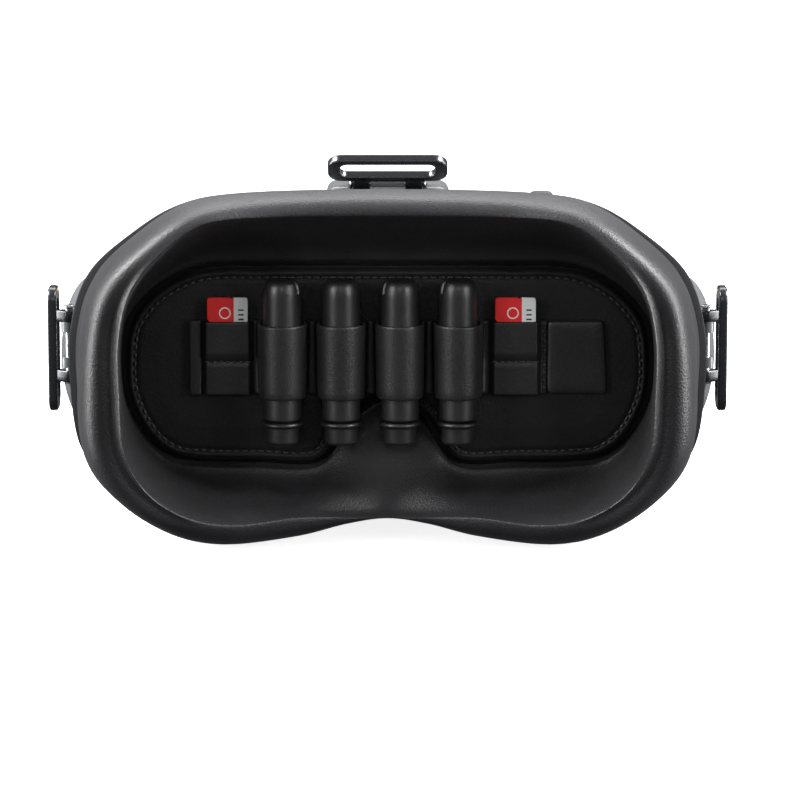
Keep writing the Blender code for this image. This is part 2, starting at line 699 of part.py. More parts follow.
def make_finger_slide(side_name, x):
    """The ribbed finger piece under the shell and the stem up to its carriage."""
    stem_top = ROD_Z["lower_guide_rod"] - 3.0 - GAP
    half_x, half_y = 3.7, 3.1
    teeth = [(x - half_x, 4.4), (x - half_x, 0.9)]
    for i in range(4):
        left = x - half_x + 0.5 + i * 1.85
        teeth += [(left, 0.4), (left + 0.9, 0.4), (left + 1.3, 1.0)]
    teeth += [(x + half_x, 0.9), (x + half_x, 4.4), (x + 1.6, 4.4), (x + 1.6, stem_top),
              (x - 1.6, stem_top), (x - 1.6, 4.4)]
    plate(side_name + "_ipd_knob", [teeth], ROD_Y - half_y, ROD_Y + half_y, "Y", RUBBER)


def make_rods():
    """Two guide rods for the carriages."""
    for name, z in ROD_Z.items():
        rod(name, (-ROD_HALF_LENGTH, ROD_Y, z), (ROD_HALF_LENGTH, ROD_Y, z), ROD_RADIUS, STEEL, 12)


# ---------------------------------------------------------------- cooling and electronics

def make_cooling():
    """The fan, its frame, the finned heat sink and the circuit board."""
    y0, y1 = FAN_Y
    half = FAN_SIDE / 2
    frame_outline = rounded_rectangle((-half, LENS_Z - half), (half, LENS_Z + half), 2.0, 2)
    opening = circle((0.0, LENS_Z), FAN_RADIUS, 24)
    plate("fan_frame", [frame_outline, opening], y0, y1, "Y", SHELL)
    hub = rod("fan_rotor", (0, y0 + 0.5, LENS_Z), (0, y1 - 0.5, LENS_Z), 5.0, SHELL, 18)
    blade_count = 7
    for i in range(blade_count):
        blade = box("fan blade", (-0.5, -2.4, 4.2), (0.5, 2.4, FAN_RADIUS - 0.9), SHELL)
        turn = Matrix.Rotation(2 * math.pi * i / blade_count, 4, "Y")
        pitch = Matrix.Rotation(math.radians(32), 4, "Z")
        blade.matrix_world = Matrix.Translation(Vector((0, (y0 + y1) / 2, LENS_Z)) * MM) @ turn @ pitch
        join(hub, blade)
    set_origin(hub, (0.0, (y0 + y1) / 2, LENS_Z))
    fin_count, pitch, fin_width = 9, 4.4, 1.4
    base_y, tip_y, foot_y = 26.6, 18.0, 28.4
    start = -(fin_count - 1) * pitch / 2 - fin_width / 2
    comb = [(start, foot_y)]
    for i in range(fin_count):
        left = start + i * pitch
        comb += [(left, tip_y), (left + fin_width, tip_y), (left + fin_width, base_y)]
        if i < fin_count - 1:
            comb.append((left + pitch, base_y))
    comb[-1] = (comb[-1][0], foot_y)
    plate("heat_sink", [comb], LENS_Z - 15, LENS_Z + 15, "Z", ALUMINIUM)
    box("main_board", (-62, BOARD_Y, 24), (62, BOARD_Y + 1.6, 72), BOARD)


def make_ports():
    """The sockets in the sides of the shell, each a block with its mouth cut in."""
    for name, (side, z, half_y, half_z) in PORTS.items():
        inner, outer = sorted((side * 70.0, side * 77.9))
        block = box(name, (inner, PANEL_Y - half_y, z - half_z), (outer, PANEL_Y + half_y, z + half_z), DARK_METAL)
        mouth_inner, mouth_outer = sorted((side * 72.0, side * 80.0))
        if half_y == half_z:
            mouth = rod(name + " mouth", (mouth_inner, PANEL_Y, z), (mouth_outer, PANEL_Y, z),
                        half_y - 1.2, DARK_METAL, 16)
        else:
            mouth = box(name + " mouth", (mouth_inner, PANEL_Y - half_y + 0.6, z - half_z + 0.6),
                        (mouth_outer, PANEL_Y + half_y - 0.6, z + half_z - 0.6), DARK_METAL)
        cut(block, mouth)


def make_connectors():
    """Four threaded sockets that the antennas screw on to."""
    number = 0
    for side in (-1, 1):
        for z in CONNECTOR_Z:
            number += 1
            profile = ((1.5, 9.6), (3.1, 9.6), (3.1, 2.2), (4.6, 2.2), (4.6, 0.3), (3.2, 0.3),
                       (3.2, -4.0), (1.5, -4.0))
            turn = (0.0, side * math.radians(90), 0.0)
            turned("connector_%d" % number, profile, (side * CONNECTOR_X, PANEL_Y, z), BRASS, turn,
                   closed=True, sides=12)


def make_buttons():
    """Round keys in the top of the shell and the menu stick."""
    for name, radius in BUTTON_RADIUS.items():
        profile = ((0.0, 0.0), (radius - 0.6, 0.0), (radius, -0.6), (radius, -6.5), (0.0, -6.5))
        turned(name, profile, (BUTTON_X[name], PANEL_Y, BUTTON_TOP), RUBBER, sides=14)
    place = (STICK_X, PANEL_Y, STICK_PIVOT_Z)
    turned("stick_shaft", ((0.0, 5.6), (1.2, 5.6), (1.2, 0.0), (0.0, 0.0)), place, STEEL, sides=12)
    cap = ((0.0, 7.3), (2.6, 7.5), (3.4, 6.9), (3.0, 5.9), (0.0, 5.9))
    turned("stick_cap", cap, place, RUBBER, sides=14)


# ---------------------------------------------------------------- storage pad, antennas and cards

def pad_outline():
    """The pad's outline: the foam's mouth less its clearance, with a notch over the nose."""
    return grow(MOUTH, -PAD_CLEARANCE)


def make_pad():
    """The padded leather cover that lies in the mouth of the foam."""
    pad = plate("storage_pad", [pad_outline().tolist()], PAD_FRONT_Y, PAD_BACK_Y, "Y", PAD_LEATHER)
    set_origin(pad, (0.0, PAD_FRONT_Y, LENS_Z))


def make_strip():
    """The band sewn on the pad, seen from above: flat leather, four sleeves and two pockets."""
    back = PAD_FRONT_Y - GAP
    front = back - BAND_THICKNESS
    outline = [(BAND_LEFT, back), (BAND_LEFT, front)]
    bumps = [(x, "pocket") for x in CARD_X.values()] + [(x, "sleeve") for x in ANTENNA_X]
    for x, kind in sorted(bumps):
        if kind == "pocket":
            outline += [(x - POCKET_HALF_WIDTH, front), (x - POCKET_HALF_WIDTH, POCKET_FRONT_Y),
                        (x + POCKET_HALF_WIDTH, POCKET_FRONT_Y), (x + POCKET_HALF_WIDTH, front)]
        else:
            outline.append((x - SLEEVE_RADIUS, front))
            outline += arc((x, ANTENNA_Y), SLEEVE_RADIUS, 180, 360, 12)
            outline.append((x + SLEEVE_RADIUS, front))
    outline += [(BAND_RIGHT, front), (BAND_RIGHT, back)]
    holes = [circle((x, ANTENNA_Y), ANTENNA_RADIUS + GAP) for x in ANTENNA_X]
    slot_half = CARD_WIDTH / 2 + GAP
    slot_depth = CARD_THICKNESS / 2 + GAP
    for x in CARD_X.values():
        holes.append([(x - slot_half, CARD_Y - slot_depth), (x + slot_half, CARD_Y - slot_depth),
                      (x + slot_half, CARD_Y + slot_depth), (x - slot_half, CARD_Y + slot_depth)])
    strip = plate("holder_strip", [outline] + holes, BAND_BOTTOM, BAND_TOP, "Z", PAD_LEATHER)
    set_origin(strip, (0.0, PAD_FRONT_Y, LENS_Z))


def make_antennas():
    """Four stubby antennas standing in the sleeves, each a radome on a free-turning nut."""
    for number, x in enumerate(ANTENNA_X, 1):
        r = ANTENNA_RADIUS
        radome = ((0.0, ANTENNA_TOP), (2.9, ANTENNA_TOP), (4.1, ANTENNA_TOP - 1.2),
                  (4.9, ANTENNA_TOP - 3.2), (r, ANTENNA_TOP - 5.6), (r, ANTENNA_FOOT), (0.0, ANTENNA_FOOT))
        turned("antenna_%d" % number, radome, (x, ANTENNA_Y, 0.0), RADOME)
        ring_top = ANTENNA_FOOT - GAP
        nut = ((0.0, ring_top), (NUT_RING_RADIUS, ring_top), (NUT_RING_RADIUS, ring_top - 0.9),
               (NUT_RADIUS, ring_top - 1.3), (NUT_RADIUS, NUT_BOTTOM + 0.7), (NUT_RADIUS - 0.7, NUT_BOTTOM),
               (0.0, NUT_BOTTOM))
        turned("antenna_%d_nut" % number, nut, (x, ANTENNA_Y, 0.0), RADOME)


def make_cards():
    """Two memory cards, each with one cut corner and a finger notch."""
    for name, x in CARD_X.items():
        left, right = x - CARD_WIDTH / 2, x + CARD_WIDTH / 2
        bottom, top = CARD_TOP - CARD_HEIGHT, CARD_TOP
        outline = [(left, bottom), (right, bottom), (right, top - 0.8), (right - 0.8, top),
                   (left + 0.8, top), (left, top - 0.8), (left, top - 6.0), (left + 0.7, top - 6.8),
                   (left + 0.7, top - 9.0), (left, top - 9.8)]
        card = plate(name, [outline], CARD_Y - CARD_THICKNESS / 2, CARD_Y + CARD_THICKNESS / 2, "Y", CARD)
        set_origin(card, (x, CARD_Y, bottom))


make_face_foam()
make_backing()
make_housing()
make_visor()
make_grilles()
make_side_buckle("left", -1)
make_side_buckle("right", 1)
make_top_buckle()
make_eyepiece_plate()
make_carriages()
make_rods()
make_cooling()
make_ports()
make_connectors()
make_buttons()
make_pad()
make_strip()
make_antennas()
make_cards()
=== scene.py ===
"""Looks for a pair of FPV goggles: leather face foam, storage pad with antennas and cards, shell and buckles.

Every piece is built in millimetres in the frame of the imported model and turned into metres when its
mesh is made. The wearer's side faces -Y, the visor faces +Y and +Z is up.
"""

import math

import bpy
import numpy as np
from mathutils import Matrix, Vector


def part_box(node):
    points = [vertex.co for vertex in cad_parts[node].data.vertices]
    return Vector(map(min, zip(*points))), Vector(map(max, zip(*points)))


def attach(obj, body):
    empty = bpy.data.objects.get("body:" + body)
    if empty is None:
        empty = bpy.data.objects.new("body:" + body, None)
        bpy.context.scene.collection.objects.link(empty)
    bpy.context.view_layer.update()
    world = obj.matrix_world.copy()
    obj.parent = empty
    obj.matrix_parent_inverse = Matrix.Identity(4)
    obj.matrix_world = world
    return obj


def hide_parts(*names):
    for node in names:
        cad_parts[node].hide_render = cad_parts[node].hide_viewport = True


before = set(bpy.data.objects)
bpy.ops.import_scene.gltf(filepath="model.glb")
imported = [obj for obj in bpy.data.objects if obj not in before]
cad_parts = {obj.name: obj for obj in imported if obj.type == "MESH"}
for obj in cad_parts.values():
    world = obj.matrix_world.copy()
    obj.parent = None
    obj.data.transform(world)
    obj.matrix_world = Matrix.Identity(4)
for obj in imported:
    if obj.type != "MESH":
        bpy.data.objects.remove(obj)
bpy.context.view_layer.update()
scene = bpy.context.scene


# ---------------------------------------------------------------- face foam
# A ring of soft foam wrapped in black synthetic leather, moulded to the brow, the cheeks and the nose.
# Its skin is one sheet: an outer roll, a shallow valley, a lip and a smooth wall that leads into the eyes.
# It is glued to the thin plastic rim behind it.

MM = 0.001
FOAM_BACK_Y = -24.3
FOAM_WIDEST_Y = -38.0
FOAM_MOUTH_Y = -30.0
RIM_SCALE = np.array((1.024, 0.966))
RIM_LIFT = 0.8
FOAM_STEPS = 14

# Half outline from the brow to the nose: outer x, z | lip x, y, z | mouth x, z
FOAM_STATIONS = np.array((
    (0.0, 98.7, 0.0, -50.0, 92.1, 0.0, 76.9),
    (38.0, 97.8, 29.0, -51.5, 92.0, 33.0, 76.9),
    (56.0, 94.4, 48.6, -55.5, 90.6, 51.0, 76.3),
    (70.0, 85.4, 61.0, -59.0, 82.4, 63.0, 71.0),
    (80.8, 74.6, 68.7, -61.0, 72.4, 71.0, 62.5),
    (85.5, 60.5, 71.8, -61.0, 60.0, 73.4, 54.0),
    (86.1, 44.0, 71.8, -60.5, 44.5, 73.1, 40.0),
    (83.5, 24.5, 70.6, -59.0, 28.4, 67.5, 28.0),
    (74.0, 12.2, 64.5, -57.5, 17.3, 60.0, 21.8),
    (60.0, 3.3, 54.0, -56.0, 10.5, 51.0, 20.3),
    (45.0, 0.0, 41.0, -53.5, 8.2, 36.0, 20.1),
    (25.0, 1.8, 25.0, -48.0, 9.1, 18.5, 20.4),
    (11.0, 5.2, 10.0, -42.5, 8.0, 10.3, 32.0),
    (0.0, 6.7, 0.0, -40.0, 7.5, 0.0, 38.7),
))

# Rows across the foam's skin: share of the way from the outer edge to the lip, then the share of the lip's
# depth on a plain roll and on the cheeks, where there is a hollow beside the lip.
FOAM_ROLL = ((0.03, 0.28, 0.28), (0.10, 0.54, 0.54), (0.24, 0.80, 0.775), (0.42, 0.935, 0.89),
             (0.58, 0.98, 0.90), (0.72, 0.995, 0.875), (0.84, 1.0, 0.855), (0.93, 0.995, 0.92),
             (1.0, 0.985, 1.0))
# Rows down the inner wall: share of the way from the lip to the mouth, across and in depth.
FOAM_WALL = ((0.05, 0.12), (0.16, 0.28), (0.32, 0.54), (0.50, 0.76), (0.70, 0.93), (0.90, 1.0))
# The leather stands back from the rim's edge, most of all beside the temples.
STAND_BACK = 0.45
TEMPLE_STAND_BACK = 1.5
TEMPLE_Z, TEMPLE_SPREAD, TEMPLE_X = 58.0, 17.0, 60.0
NOSE_SPREAD, NOSE_TOP, NOSE_PUSH = 16.0, 50.0, 2.4
PUFF_FRAMES = 20
PUFF_CLOTH = {"quality": 6, "mass": 0.3, "tension_stiffness": 25, "compression_stiffness": 25,
              "shear_stiffness": 15, "bending_stiffness": 8, "use_pressure": True}

def span_cubic(p0, p1, p2, p3, t):
    """Catmull-Rom cubic from p1 to p2 at parameter t."""
    return 0.5 * (2 * p1 + (p2 - p0) * t + (2 * p0 - 5 * p1 + 4 * p2 - p3) * t ** 2
                  + (3 * p1 - p0 - 3 * p2 + p3) * t ** 3)


def smooth_step(value, low, high):
    """0 below low, 1 above high, and a cubic ease between."""
    t = np.clip((value - low) / (high - low), 0, 1)
    return t * t * (3 - 2 * t)


def mirrored_outline(half, steps):
    """A closed smooth curve through a half outline and its mirror image, steps points to a span."""
    half = np.asarray(half, dtype=float)
    other = half[-2:0:-1].copy()
    other[:, 0] *= -1
    knots = np.vstack((half, other))
    t = (np.arange(steps) / steps)[None, :, None]
    spans = [np.roll(knots, shift, 0)[:, None, :] for shift in (1, 0, -1, -2)]
    return span_cubic(*spans, t).reshape(-1, half.shape[1])


def offset(outline, distance):
    """Move a closed (x, z) outline outwards along its own normals."""
    along = np.roll(outline, -1, 0) - np.roll(outline, 1, 0)
    along /= np.linalg.norm(along, axis=1)[:, None]
    return outline + np.column_stack((-along[:, 1], along[:, 0])) * distance


def at_depth(outline, y):
    """An (x, z) outline as 3-D points at one depth or at one depth for each point."""
    return np.column_stack((outline[:, 0], np.broadcast_to(y, len(outline)), outline[:, 1]))


def closed_rows(rows, steps):
    """Rows of points that close on the first: a cubic B-spline through them, steps rows to a span.

    Row at t = ((1-t)^3 a + (3t^3-6t^2+4) b + (-3t^3+3t^2+3t+1) c + t^3 d) / 6.
    """
    rows = np.asarray(rows)
    t = (np.arange(steps) / steps)[None, :, None, None]
    a, b, c, d = (np.roll(rows, shift, 0)[:, None] for shift in (1, 0, -1, -2))
    made = ((1 - t) ** 3 * a + (3 * t ** 3 - 6 * t ** 2 + 4) * b
            + (-3 * t ** 3 + 3 * t ** 2 + 3 * t + 1) * c + t ** 3 * d) / 6
    return made.reshape(-1, *rows.shape[1:])


def grid_quads(index):
    """A quad to each cell of a grid of point numbers that closes in columns."""
    index = np.hstack((index, index[:, :1]))
    return np.stack((index[:-1, :-1], index[:-1, 1:], index[1:, 1:], index[1:, :-1]), -1).reshape(-1, 4)


def build(name, points, faces, paint, inside_out=False, sharp=None):
    """A piece from points in millimetres and faces; faces that look inwards are turned."""
    mesh = bpy.data.meshes.new(name)
    mesh.from_pydata((points.reshape(-1, 3) * MM).tolist(), [], faces)
    if inside_out:
        mesh.flip_normals()
    mesh.shade_smooth()
    if sharp is not None:
        mesh.set_sharp_from_angle(angle=math.radians(sharp))
    mesh.materials.append(paint)
    piece = bpy.data.objects.new(name, mesh)
    scene.collection.objects.link(piece)
    return piece


def skin(name, points, body, paint, close_rows=False, caps=False, sharp=40):
    """One piece from a grid of points [row, column] in millimetres: a quad to a cell.

    The grid closes in columns and, if asked, in rows; caps close the first and the last row with one
    face each. If the volume inside comes out negative, the faces are turned to look outwards.
    """
    index = np.arange(points.shape[0] * points.shape[1]).reshape(points.shape[:2])
    ends = [index[0, ::-1].tolist(), index[-1].tolist()] if caps else []
    quads = grid_quads(np.vstack((index, index[:1])) if close_rows else index)
    centred = points.reshape(-1, 3) - points.reshape(-1, 3).mean(0)
    a, b, c, d = (centred[quads[:, i]] for i in range(4))
    volume = (a * np.cross(b, c) + a * np.cross(c, d)).sum()
    for end in ends:
        loop = centred[end]
        volume += (loop.mean(0) * np.cross(loop, np.roll(loop, -1, 0))).sum()
    piece = build(name, points, quads.tolist() + ends, paint, volume < 0, sharp)
    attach(piece, body)
    return piece


def coordinates(mesh):
    """A mesh's points in millimetres."""
    found = np.empty(len(mesh.vertices) * 3)
    mesh.vertices.foreach_get("co", found)
    return found.reshape(-1, 3) / MM


def set_coordinates(mesh, points):
    """Put points in millimetres into a mesh."""
    mesh.vertices.foreach_set("co", (points * MM).ravel())
    mesh.update()


def new_material(name, colour, roughness, metallic=0.0, specular=0.5):
    """A Principled material with the piece's main colour, and its node tools: tree, shader, position."""
    made = bpy.data.materials.new(name)
    made.use_nodes = True
    tree = made.node_tree
    shader = tree.nodes["Principled BSDF"]
    fix(shader, {"Base Color": (*colour, 1.0), "Roughness": roughness, "Metallic": metallic,
                 "Specular IOR Level": specular})
    return made, tree, shader, tree.nodes.new("ShaderNodeTexCoord").outputs["Object"]


def fix(node, values):
    """Set a node's own sockets to fixed values."""
    for socket, value in values.items():
        node.inputs[socket].default_value = value


def add_node(tree, kind, fed, fixed, **settings):
    """A shader node with its settings, fixed values and links from other nodes; gives its outputs."""
    made = tree.nodes.new("ShaderNode" + kind)
    for setting, value in settings.items():
        setattr(made, setting, value)
    fix(made, fixed)
    for socket, source in fed.items():
        tree.links.new(source, made.inputs[socket])
    return made.outputs


def noise(tree, place, scale, detail=2.0, roughness=0.5):
    """Cloudy noise; scale is in waves to a metre."""
    return add_node(tree, "TexNoise", {"Vector": place},
                    {"Scale": scale, "Detail": detail, "Roughness": roughness})["Fac"]


def cells(tree, place, scale, feature="F1"):
    """Cell pattern: distance from the nearest seed, or from the cell's edge."""
    return add_node(tree, "TexVoronoi", {"Vector": place}, {"Scale": scale}, feature=feature)["Distance"]


def spread(tree, value, low, high, source=(0.0, 1.0)):
    """Stretch a value from one range to another."""
    return add_node(tree, "MapRange", {"Value": value},
                    {"From Min": source[0], "From Max": source[1], "To Min": low, "To Max": high})["Result"]


def tint(tree, value, dark, light):
    """A colour between two by a value from 0 to 1; the dark one may come from another node."""
    fed, fixed = {"Factor": value}, {"B": (*light, 1.0)}
    if isinstance(dark, tuple):
        fixed["A"] = (*dark, 1.0)
    else:
        fed["A"] = dark
    return add_node(tree, "Mix", fed, fixed, data_type="RGBA")["Result"]


def dent(tree, shader, height, depth, strength, under=None):
    """Bump the surface by a height map, depth in metres, on top of another bump if there is one."""
    fed = {"Height": height} if under is None else {"Height": height, "Normal": under}
    bump = add_node(tree, "Bump", fed, {"Strength": strength, "Distance": depth})["Normal"]
    tree.links.new(bump, shader.inputs["Normal"])
    return bump


def vary(tree, shader, colour, roughness):
    """Drive the shader's colour and roughness from patterns."""
    tree.links.new(colour, shader.inputs["Base Color"])
    tree.links.new(roughness, shader.inputs["Roughness"])


def shade_of(colour, share):
    """The same colour, lighter or darker."""
    return tuple(channel * share for channel in colour)


def leather(name, colour, shine, grain, depth, specular=0.5):
    """Black synthetic leather: pebbles about 1/grain metres wide, finer pores and a faint sheen."""
    made, tree, shader, place = new_material(name, colour, shine, specular=specular)
    mottled = spread(tree, noise(tree, place, 60.0, 4.0), 0, 1, (0.35, 0.65))
    vary(tree, shader, tint(tree, mottled, colour, shade_of(colour, 1.5)),
         spread(tree, noise(tree, place, 900.0, 3.0), shine - 0.07, shine + 0.09))
    pores = dent(tree, shader, noise(tree, place, 4200.0, 3.0, 0.6), 0.00003, 0.7)
    dent(tree, shader, cells(tree, place, grain), depth, 0.9, pores)
    fix(shader, {"Sheen Weight": 0.03, "Sheen Roughness": 0.45})
    return made


def puff(piece, sewn, pressure, reach):
    """Blow a closed skin up from inside with a cloth simulation, held still where it is sewn or glued.

    Each point's new place is its old place plus the cloth's movement, cut to at most reach millimetres.
    """
    rest = coordinates(piece.data)
    held = piece.vertex_groups.new(name="sewn")
    held.add(np.flatnonzero(sewn).tolist(), 1.0, "REPLACE")
    cloth = piece.modifiers.new("puff", "CLOTH")
    for setting, value in PUFF_CLOTH.items():
        setattr(cloth.settings, setting, value)
    cloth.settings.uniform_pressure_force = pressure
    cloth.settings.vertex_group_mass = held.name
    cloth.settings.effector_weights.gravity = 0.0
    cloth.collision_settings.use_collision = False
    cloth.point_cache.frame_start = 1
    cloth.point_cache.frame_end = PUFF_FRAMES
    for number in range(1, PUFF_FRAMES + 1):
        scene.frame_set(number)
    made = piece.evaluated_get(bpy.context.evaluated_depsgraph_get()).to_mesh()
    move = coordinates(made) - rest
    piece.modifiers.remove(cloth)
    piece.vertex_groups.remove(held)
    scene.frame_set(1)
    far = np.linalg.norm(move, axis=1, keepdims=True)
    set_coordinates(piece.data, rest + move * reach * np.tanh(far / reach) / np.maximum(far, 1e-6))


FOAM_LEATHER = leather("foam leather", (0.011, 0.011, 0.012), 0.45, 1900.0, 0.00009)
outer = mirrored_outline(FOAM_STATIONS[:, 0:2], FOAM_STEPS)
outer[:, 1] = np.maximum(outer[:, 1], 0.0)
lip = mirrored_outline(FOAM_STATIONS[:, 2:5], FOAM_STEPS)
mouth = mirrored_outline(FOAM_STATIONS[:, 5:7], FOAM_STEPS)
rim = outer * RIM_SCALE + (0.0, RIM_LIFT)
temple = (np.exp(-((outer[:, 1] - TEMPLE_Z) / TEMPLE_SPREAD) ** 2)
          * (np.abs(outer[:, 0]) > TEMPLE_X))
outer = offset(outer, -(STAND_BACK + TEMPLE_STAND_BACK * temple)[:, None])
lip_flat, lip_y = lip[:, (0, 2)], lip[:, 1]
nose = np.exp(-(mouth[:, 0] / NOSE_SPREAD) ** 2) * (mouth[:, 1] < NOSE_TOP)
base = offset(rim, -2.0)

foam_rows = [at_depth(base, y) for y in (FOAM_BACK_Y, FOAM_BACK_Y, FOAM_BACK_Y - 1.0)]
foam_rows += [at_depth((base + outer * 3.0) / 4.0, FOAM_WIDEST_Y + 7.0), at_depth(outer, FOAM_WIDEST_Y)]
cheek = (smooth_step(np.abs(lip_flat[:, 0]), 48.0, 70.0)
         * (1 - 0.8 * smooth_step(lip_flat[:, 1], 60.0, 84.0)))
for across, plain, hollowed in FOAM_ROLL:
    forward = plain + (hollowed - plain) * cheek
    foam_rows.append(at_depth(outer + (lip_flat - outer) * across,
                              FOAM_WIDEST_Y + (lip_y - FOAM_WIDEST_Y) * forward))
for across, back in FOAM_WALL:
    foam_rows.append(at_depth(lip_flat + (mouth - lip_flat) * across,
                              lip_y + (FOAM_MOUTH_Y - lip_y) * back + nose * NOSE_PUSH))
foam_rows += [at_depth(mouth, y) for y in (FOAM_MOUTH_Y, FOAM_BACK_Y - 1.0, FOAM_BACK_Y, FOAM_BACK_Y)]
foam_grid = closed_rows(foam_rows, 4)
foam = skin("foam_cushion", foam_grid, "root", FOAM_LEATHER, close_rows=True)
glued = foam_grid.reshape(-1, 3)[:, 1] > FOAM_MOUTH_Y - 1.5
puff(foam, glued, 0.6, 0.8)
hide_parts("face_foam")


# ---------------------------------------------------------------- foam backing
# A thin moulded plastic rim that carries the foam and clips on to the shell.
# Its edge shows as a fine dark line all round, slightly wider than the shell at the sides.

BACKING_Y = (-24.0, -21.5)
BACKING_ROUND = 0.35


def moulded(name, colour, shine, grain=2600.0, depth=0.00002, specular=0.5):
    """Moulded plastic: fine spark-eroded texture, faint cloudiness, roughness that varies a little."""
    made, tree, shader, place = new_material(name, colour, shine, specular=specular)
    cloudy = spread(tree, noise(tree, place, 35.0, 4.0), 0, 1, (0.3, 0.7))
    vary(tree, shader, tint(tree, cloudy, colour, shade_of(colour, 1.07)),
         spread(tree, noise(tree, place, 300.0, 4.0), shine - 0.05, shine + 0.06))
    dent(tree, shader, noise(tree, place, grain, 4.0, 0.65), depth, 0.8)
    return made


def rounded_band(outside, inside, y_range, radius):
    """Rows round a flat band between two outlines: each corner is cut by a small quarter turn."""
    y0, y1 = y_range
    rows = []
    for edge, y, turn in ((outside, y0, 180), (outside, y1, 270), (inside, y1, 0), (inside, y0, 90)):
        inward = 1.0 if edge is inside else -1.0
        step = 1.0 if y == y0 else -1.0
        for angle in np.radians((0, 45, 90)):
            first, second = math.cos(angle), math.sin(angle)
            if turn in (270, 90):
                first, second = second, first
            rows.append(at_depth(offset(edge, inward * radius * (1 - second)),
                                 y + step * radius * (1 - first)))
    return rows


SHELL_BLACK = moulded("shell black", (0.020, 0.020, 0.022), 0.34)
backing_rows = rounded_band(rim, offset(mouth, 1.0), BACKING_Y, BACKING_ROUND)
backing = skin("foam_rim", np.array(backing_rows), "root", SHELL_BLACK, close_rows=True)
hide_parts("foam_backing")


# ---------------------------------------------------------------- housing
# One moulded plastic tube between the foam and the visor, easing from the face's outline into the front's.
# Vents, keys, sockets and finger slides look out through holes cut in its wall.

HOUSING_Y = (-20.7, 34.0)
HOUSING_FULL_Y = 20.0
HOUSING_INSET = 1.3
HOUSING_WALL = 2.2
HOUSING_ROWS = 34
PANEL_Y = 27.0
PANEL_HOLE_Z = (80, 95)
GAP = 0.3
STICK_HOLE = 4.6
SLIDE_SLOT = (3.6, 0.7)
SOCKET_HOLE = 3.6
PORT_REACH = 8
KEYS = ("shortcut", "back", "record", "link")
PORTS = ("usb_port", "card_reader", "power_port", "av_port")
FRONT_STATIONS = (
    (0.0, 87.0), (36.0, 86.6), (55.0, 84.3), (67.0, 77.5), (74.5, 68.5), (78.0, 57.5), (78.5, 42.0),
    (75.5, 25.0), (67.0, 12.5), (56.0, 3.5), (45.0, 0.0), (25.0, 0.0), (11.0, 0.8), (0.0, 1.2),
)
front = mirrored_outline(FRONT_STATIONS, FOAM_STEPS)
front[:, 1] = np.maximum(front[:, 1], 0.0)


def shell_outline(y):
    """The shell's outline at a depth: smooth step from the rim's outline to the front's."""
    t = min(max((y - HOUSING_Y[0]) / (HOUSING_FULL_Y - HOUSING_Y[0]), 0.0), 1.0)
    mixed = t * t * (3.0 - 2.0 * t)
    outline = offset(rim, -HOUSING_INSET) * (1.0 - mixed) + front * mixed
    outline[:, 1] = np.maximum(outline[:, 1], 0.0)
    return outline

def box_mm(node):
    """The low corner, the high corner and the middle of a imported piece's box, in millimetres."""
    low, high = (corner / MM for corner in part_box(node))
    return low, high, (low + high) / 2
def cutter_box(low, high):
    """A box between two corners, in millimetres, for cutting only."""
    bpy.ops.mesh.primitive_cube_add(size=1.0)
    tool = bpy.context.object
    low, high = np.array(low, float) * MM, np.array(high, float) * MM
    tool.data.transform(Matrix.Translation((low + high) / 2) @ Matrix.Diagonal((*(high - low), 1.0)))
    return tool


def cutter_rod(start, end, radius, sides=48):
    """A cylinder between two points, in millimetres, for cutting only."""
    start, end = Vector(start) * MM, Vector(end) * MM
    bpy.ops.mesh.primitive_cylinder_add(vertices=sides, radius=radius * MM, depth=(end - start).length)
    tool = bpy.context.object
    turn = (end - start).to_track_quat("Z", "Y").to_matrix().to_4x4()
    tool.data.transform(Matrix.Translation((start + end) / 2) @ turn)
    return tool


def carve(piece, tools, operation="DIFFERENCE", solver="EXACT"):
    """Cut tools out of a piece, or weld them to it, then apply the result to its mesh."""
    for tool in tools:
        boolean = piece.modifiers.new("carve", "BOOLEAN")
        boolean.operation = operation
        boolean.solver = solver
        boolean.object = tool
    apply_all(piece)
    for tool in tools:
        bpy.data.objects.remove(tool, do_unlink=True)


def apply_all(piece, sharp=35):
    """Put what a piece's modifiers make into its own mesh and shade it."""
    made = piece.evaluated_get(bpy.context.evaluated_depsgraph_get())
    mesh = bpy.data.meshes.new_from_object(made)
    piece.modifiers.clear()
    piece.data = mesh
    mesh.shade_smooth()
    mesh.set_sharp_from_angle(angle=math.radians(sharp))


housing_depths = np.linspace(*HOUSING_Y, HOUSING_ROWS)
outer_wall = [at_depth(shell_outline(y), y) for y in housing_depths]
inner_wall = [at_depth(offset(shell_outline(y), -HOUSING_WALL), y) for y in housing_depths[::-1]]
housing = skin("housing_shell", np.array(outer_wall + inner_wall), "root", SHELL_BLACK,
               close_rows=True)
holes = []
for node in ("top_vent_grille", "bottom_vent_grille"):
    low, high, middle = box_mm(node)
    holes.append(cutter_box((low.x - GAP, low.y - GAP, low.z - 5), (high.x + GAP, high.y + GAP, high.z + 8)))
for key in KEYS:
    low, high, middle = box_mm(key + "_button")
    holes.append(cutter_rod((middle.x, PANEL_Y, PANEL_HOLE_Z[0]), (middle.x, PANEL_Y, PANEL_HOLE_Z[1]),
                            (high.x - low.x) / 2 + GAP))
stick_x = box_mm("stick_shaft")[2].x
holes.append(cutter_rod((stick_x, PANEL_Y, PANEL_HOLE_Z[0]), (stick_x, PANEL_Y, PANEL_HOLE_Z[1]), STICK_HOLE))
for node in ("left_ipd_knob", "right_ipd_knob"):
    low, high, middle = box_mm(node)
    holes.append(cutter_box((low.x - SLIDE_SLOT[0], low.y - SLIDE_SLOT[1], -5),
                            (high.x + SLIDE_SLOT[0], high.y + SLIDE_SLOT[1], 9)))
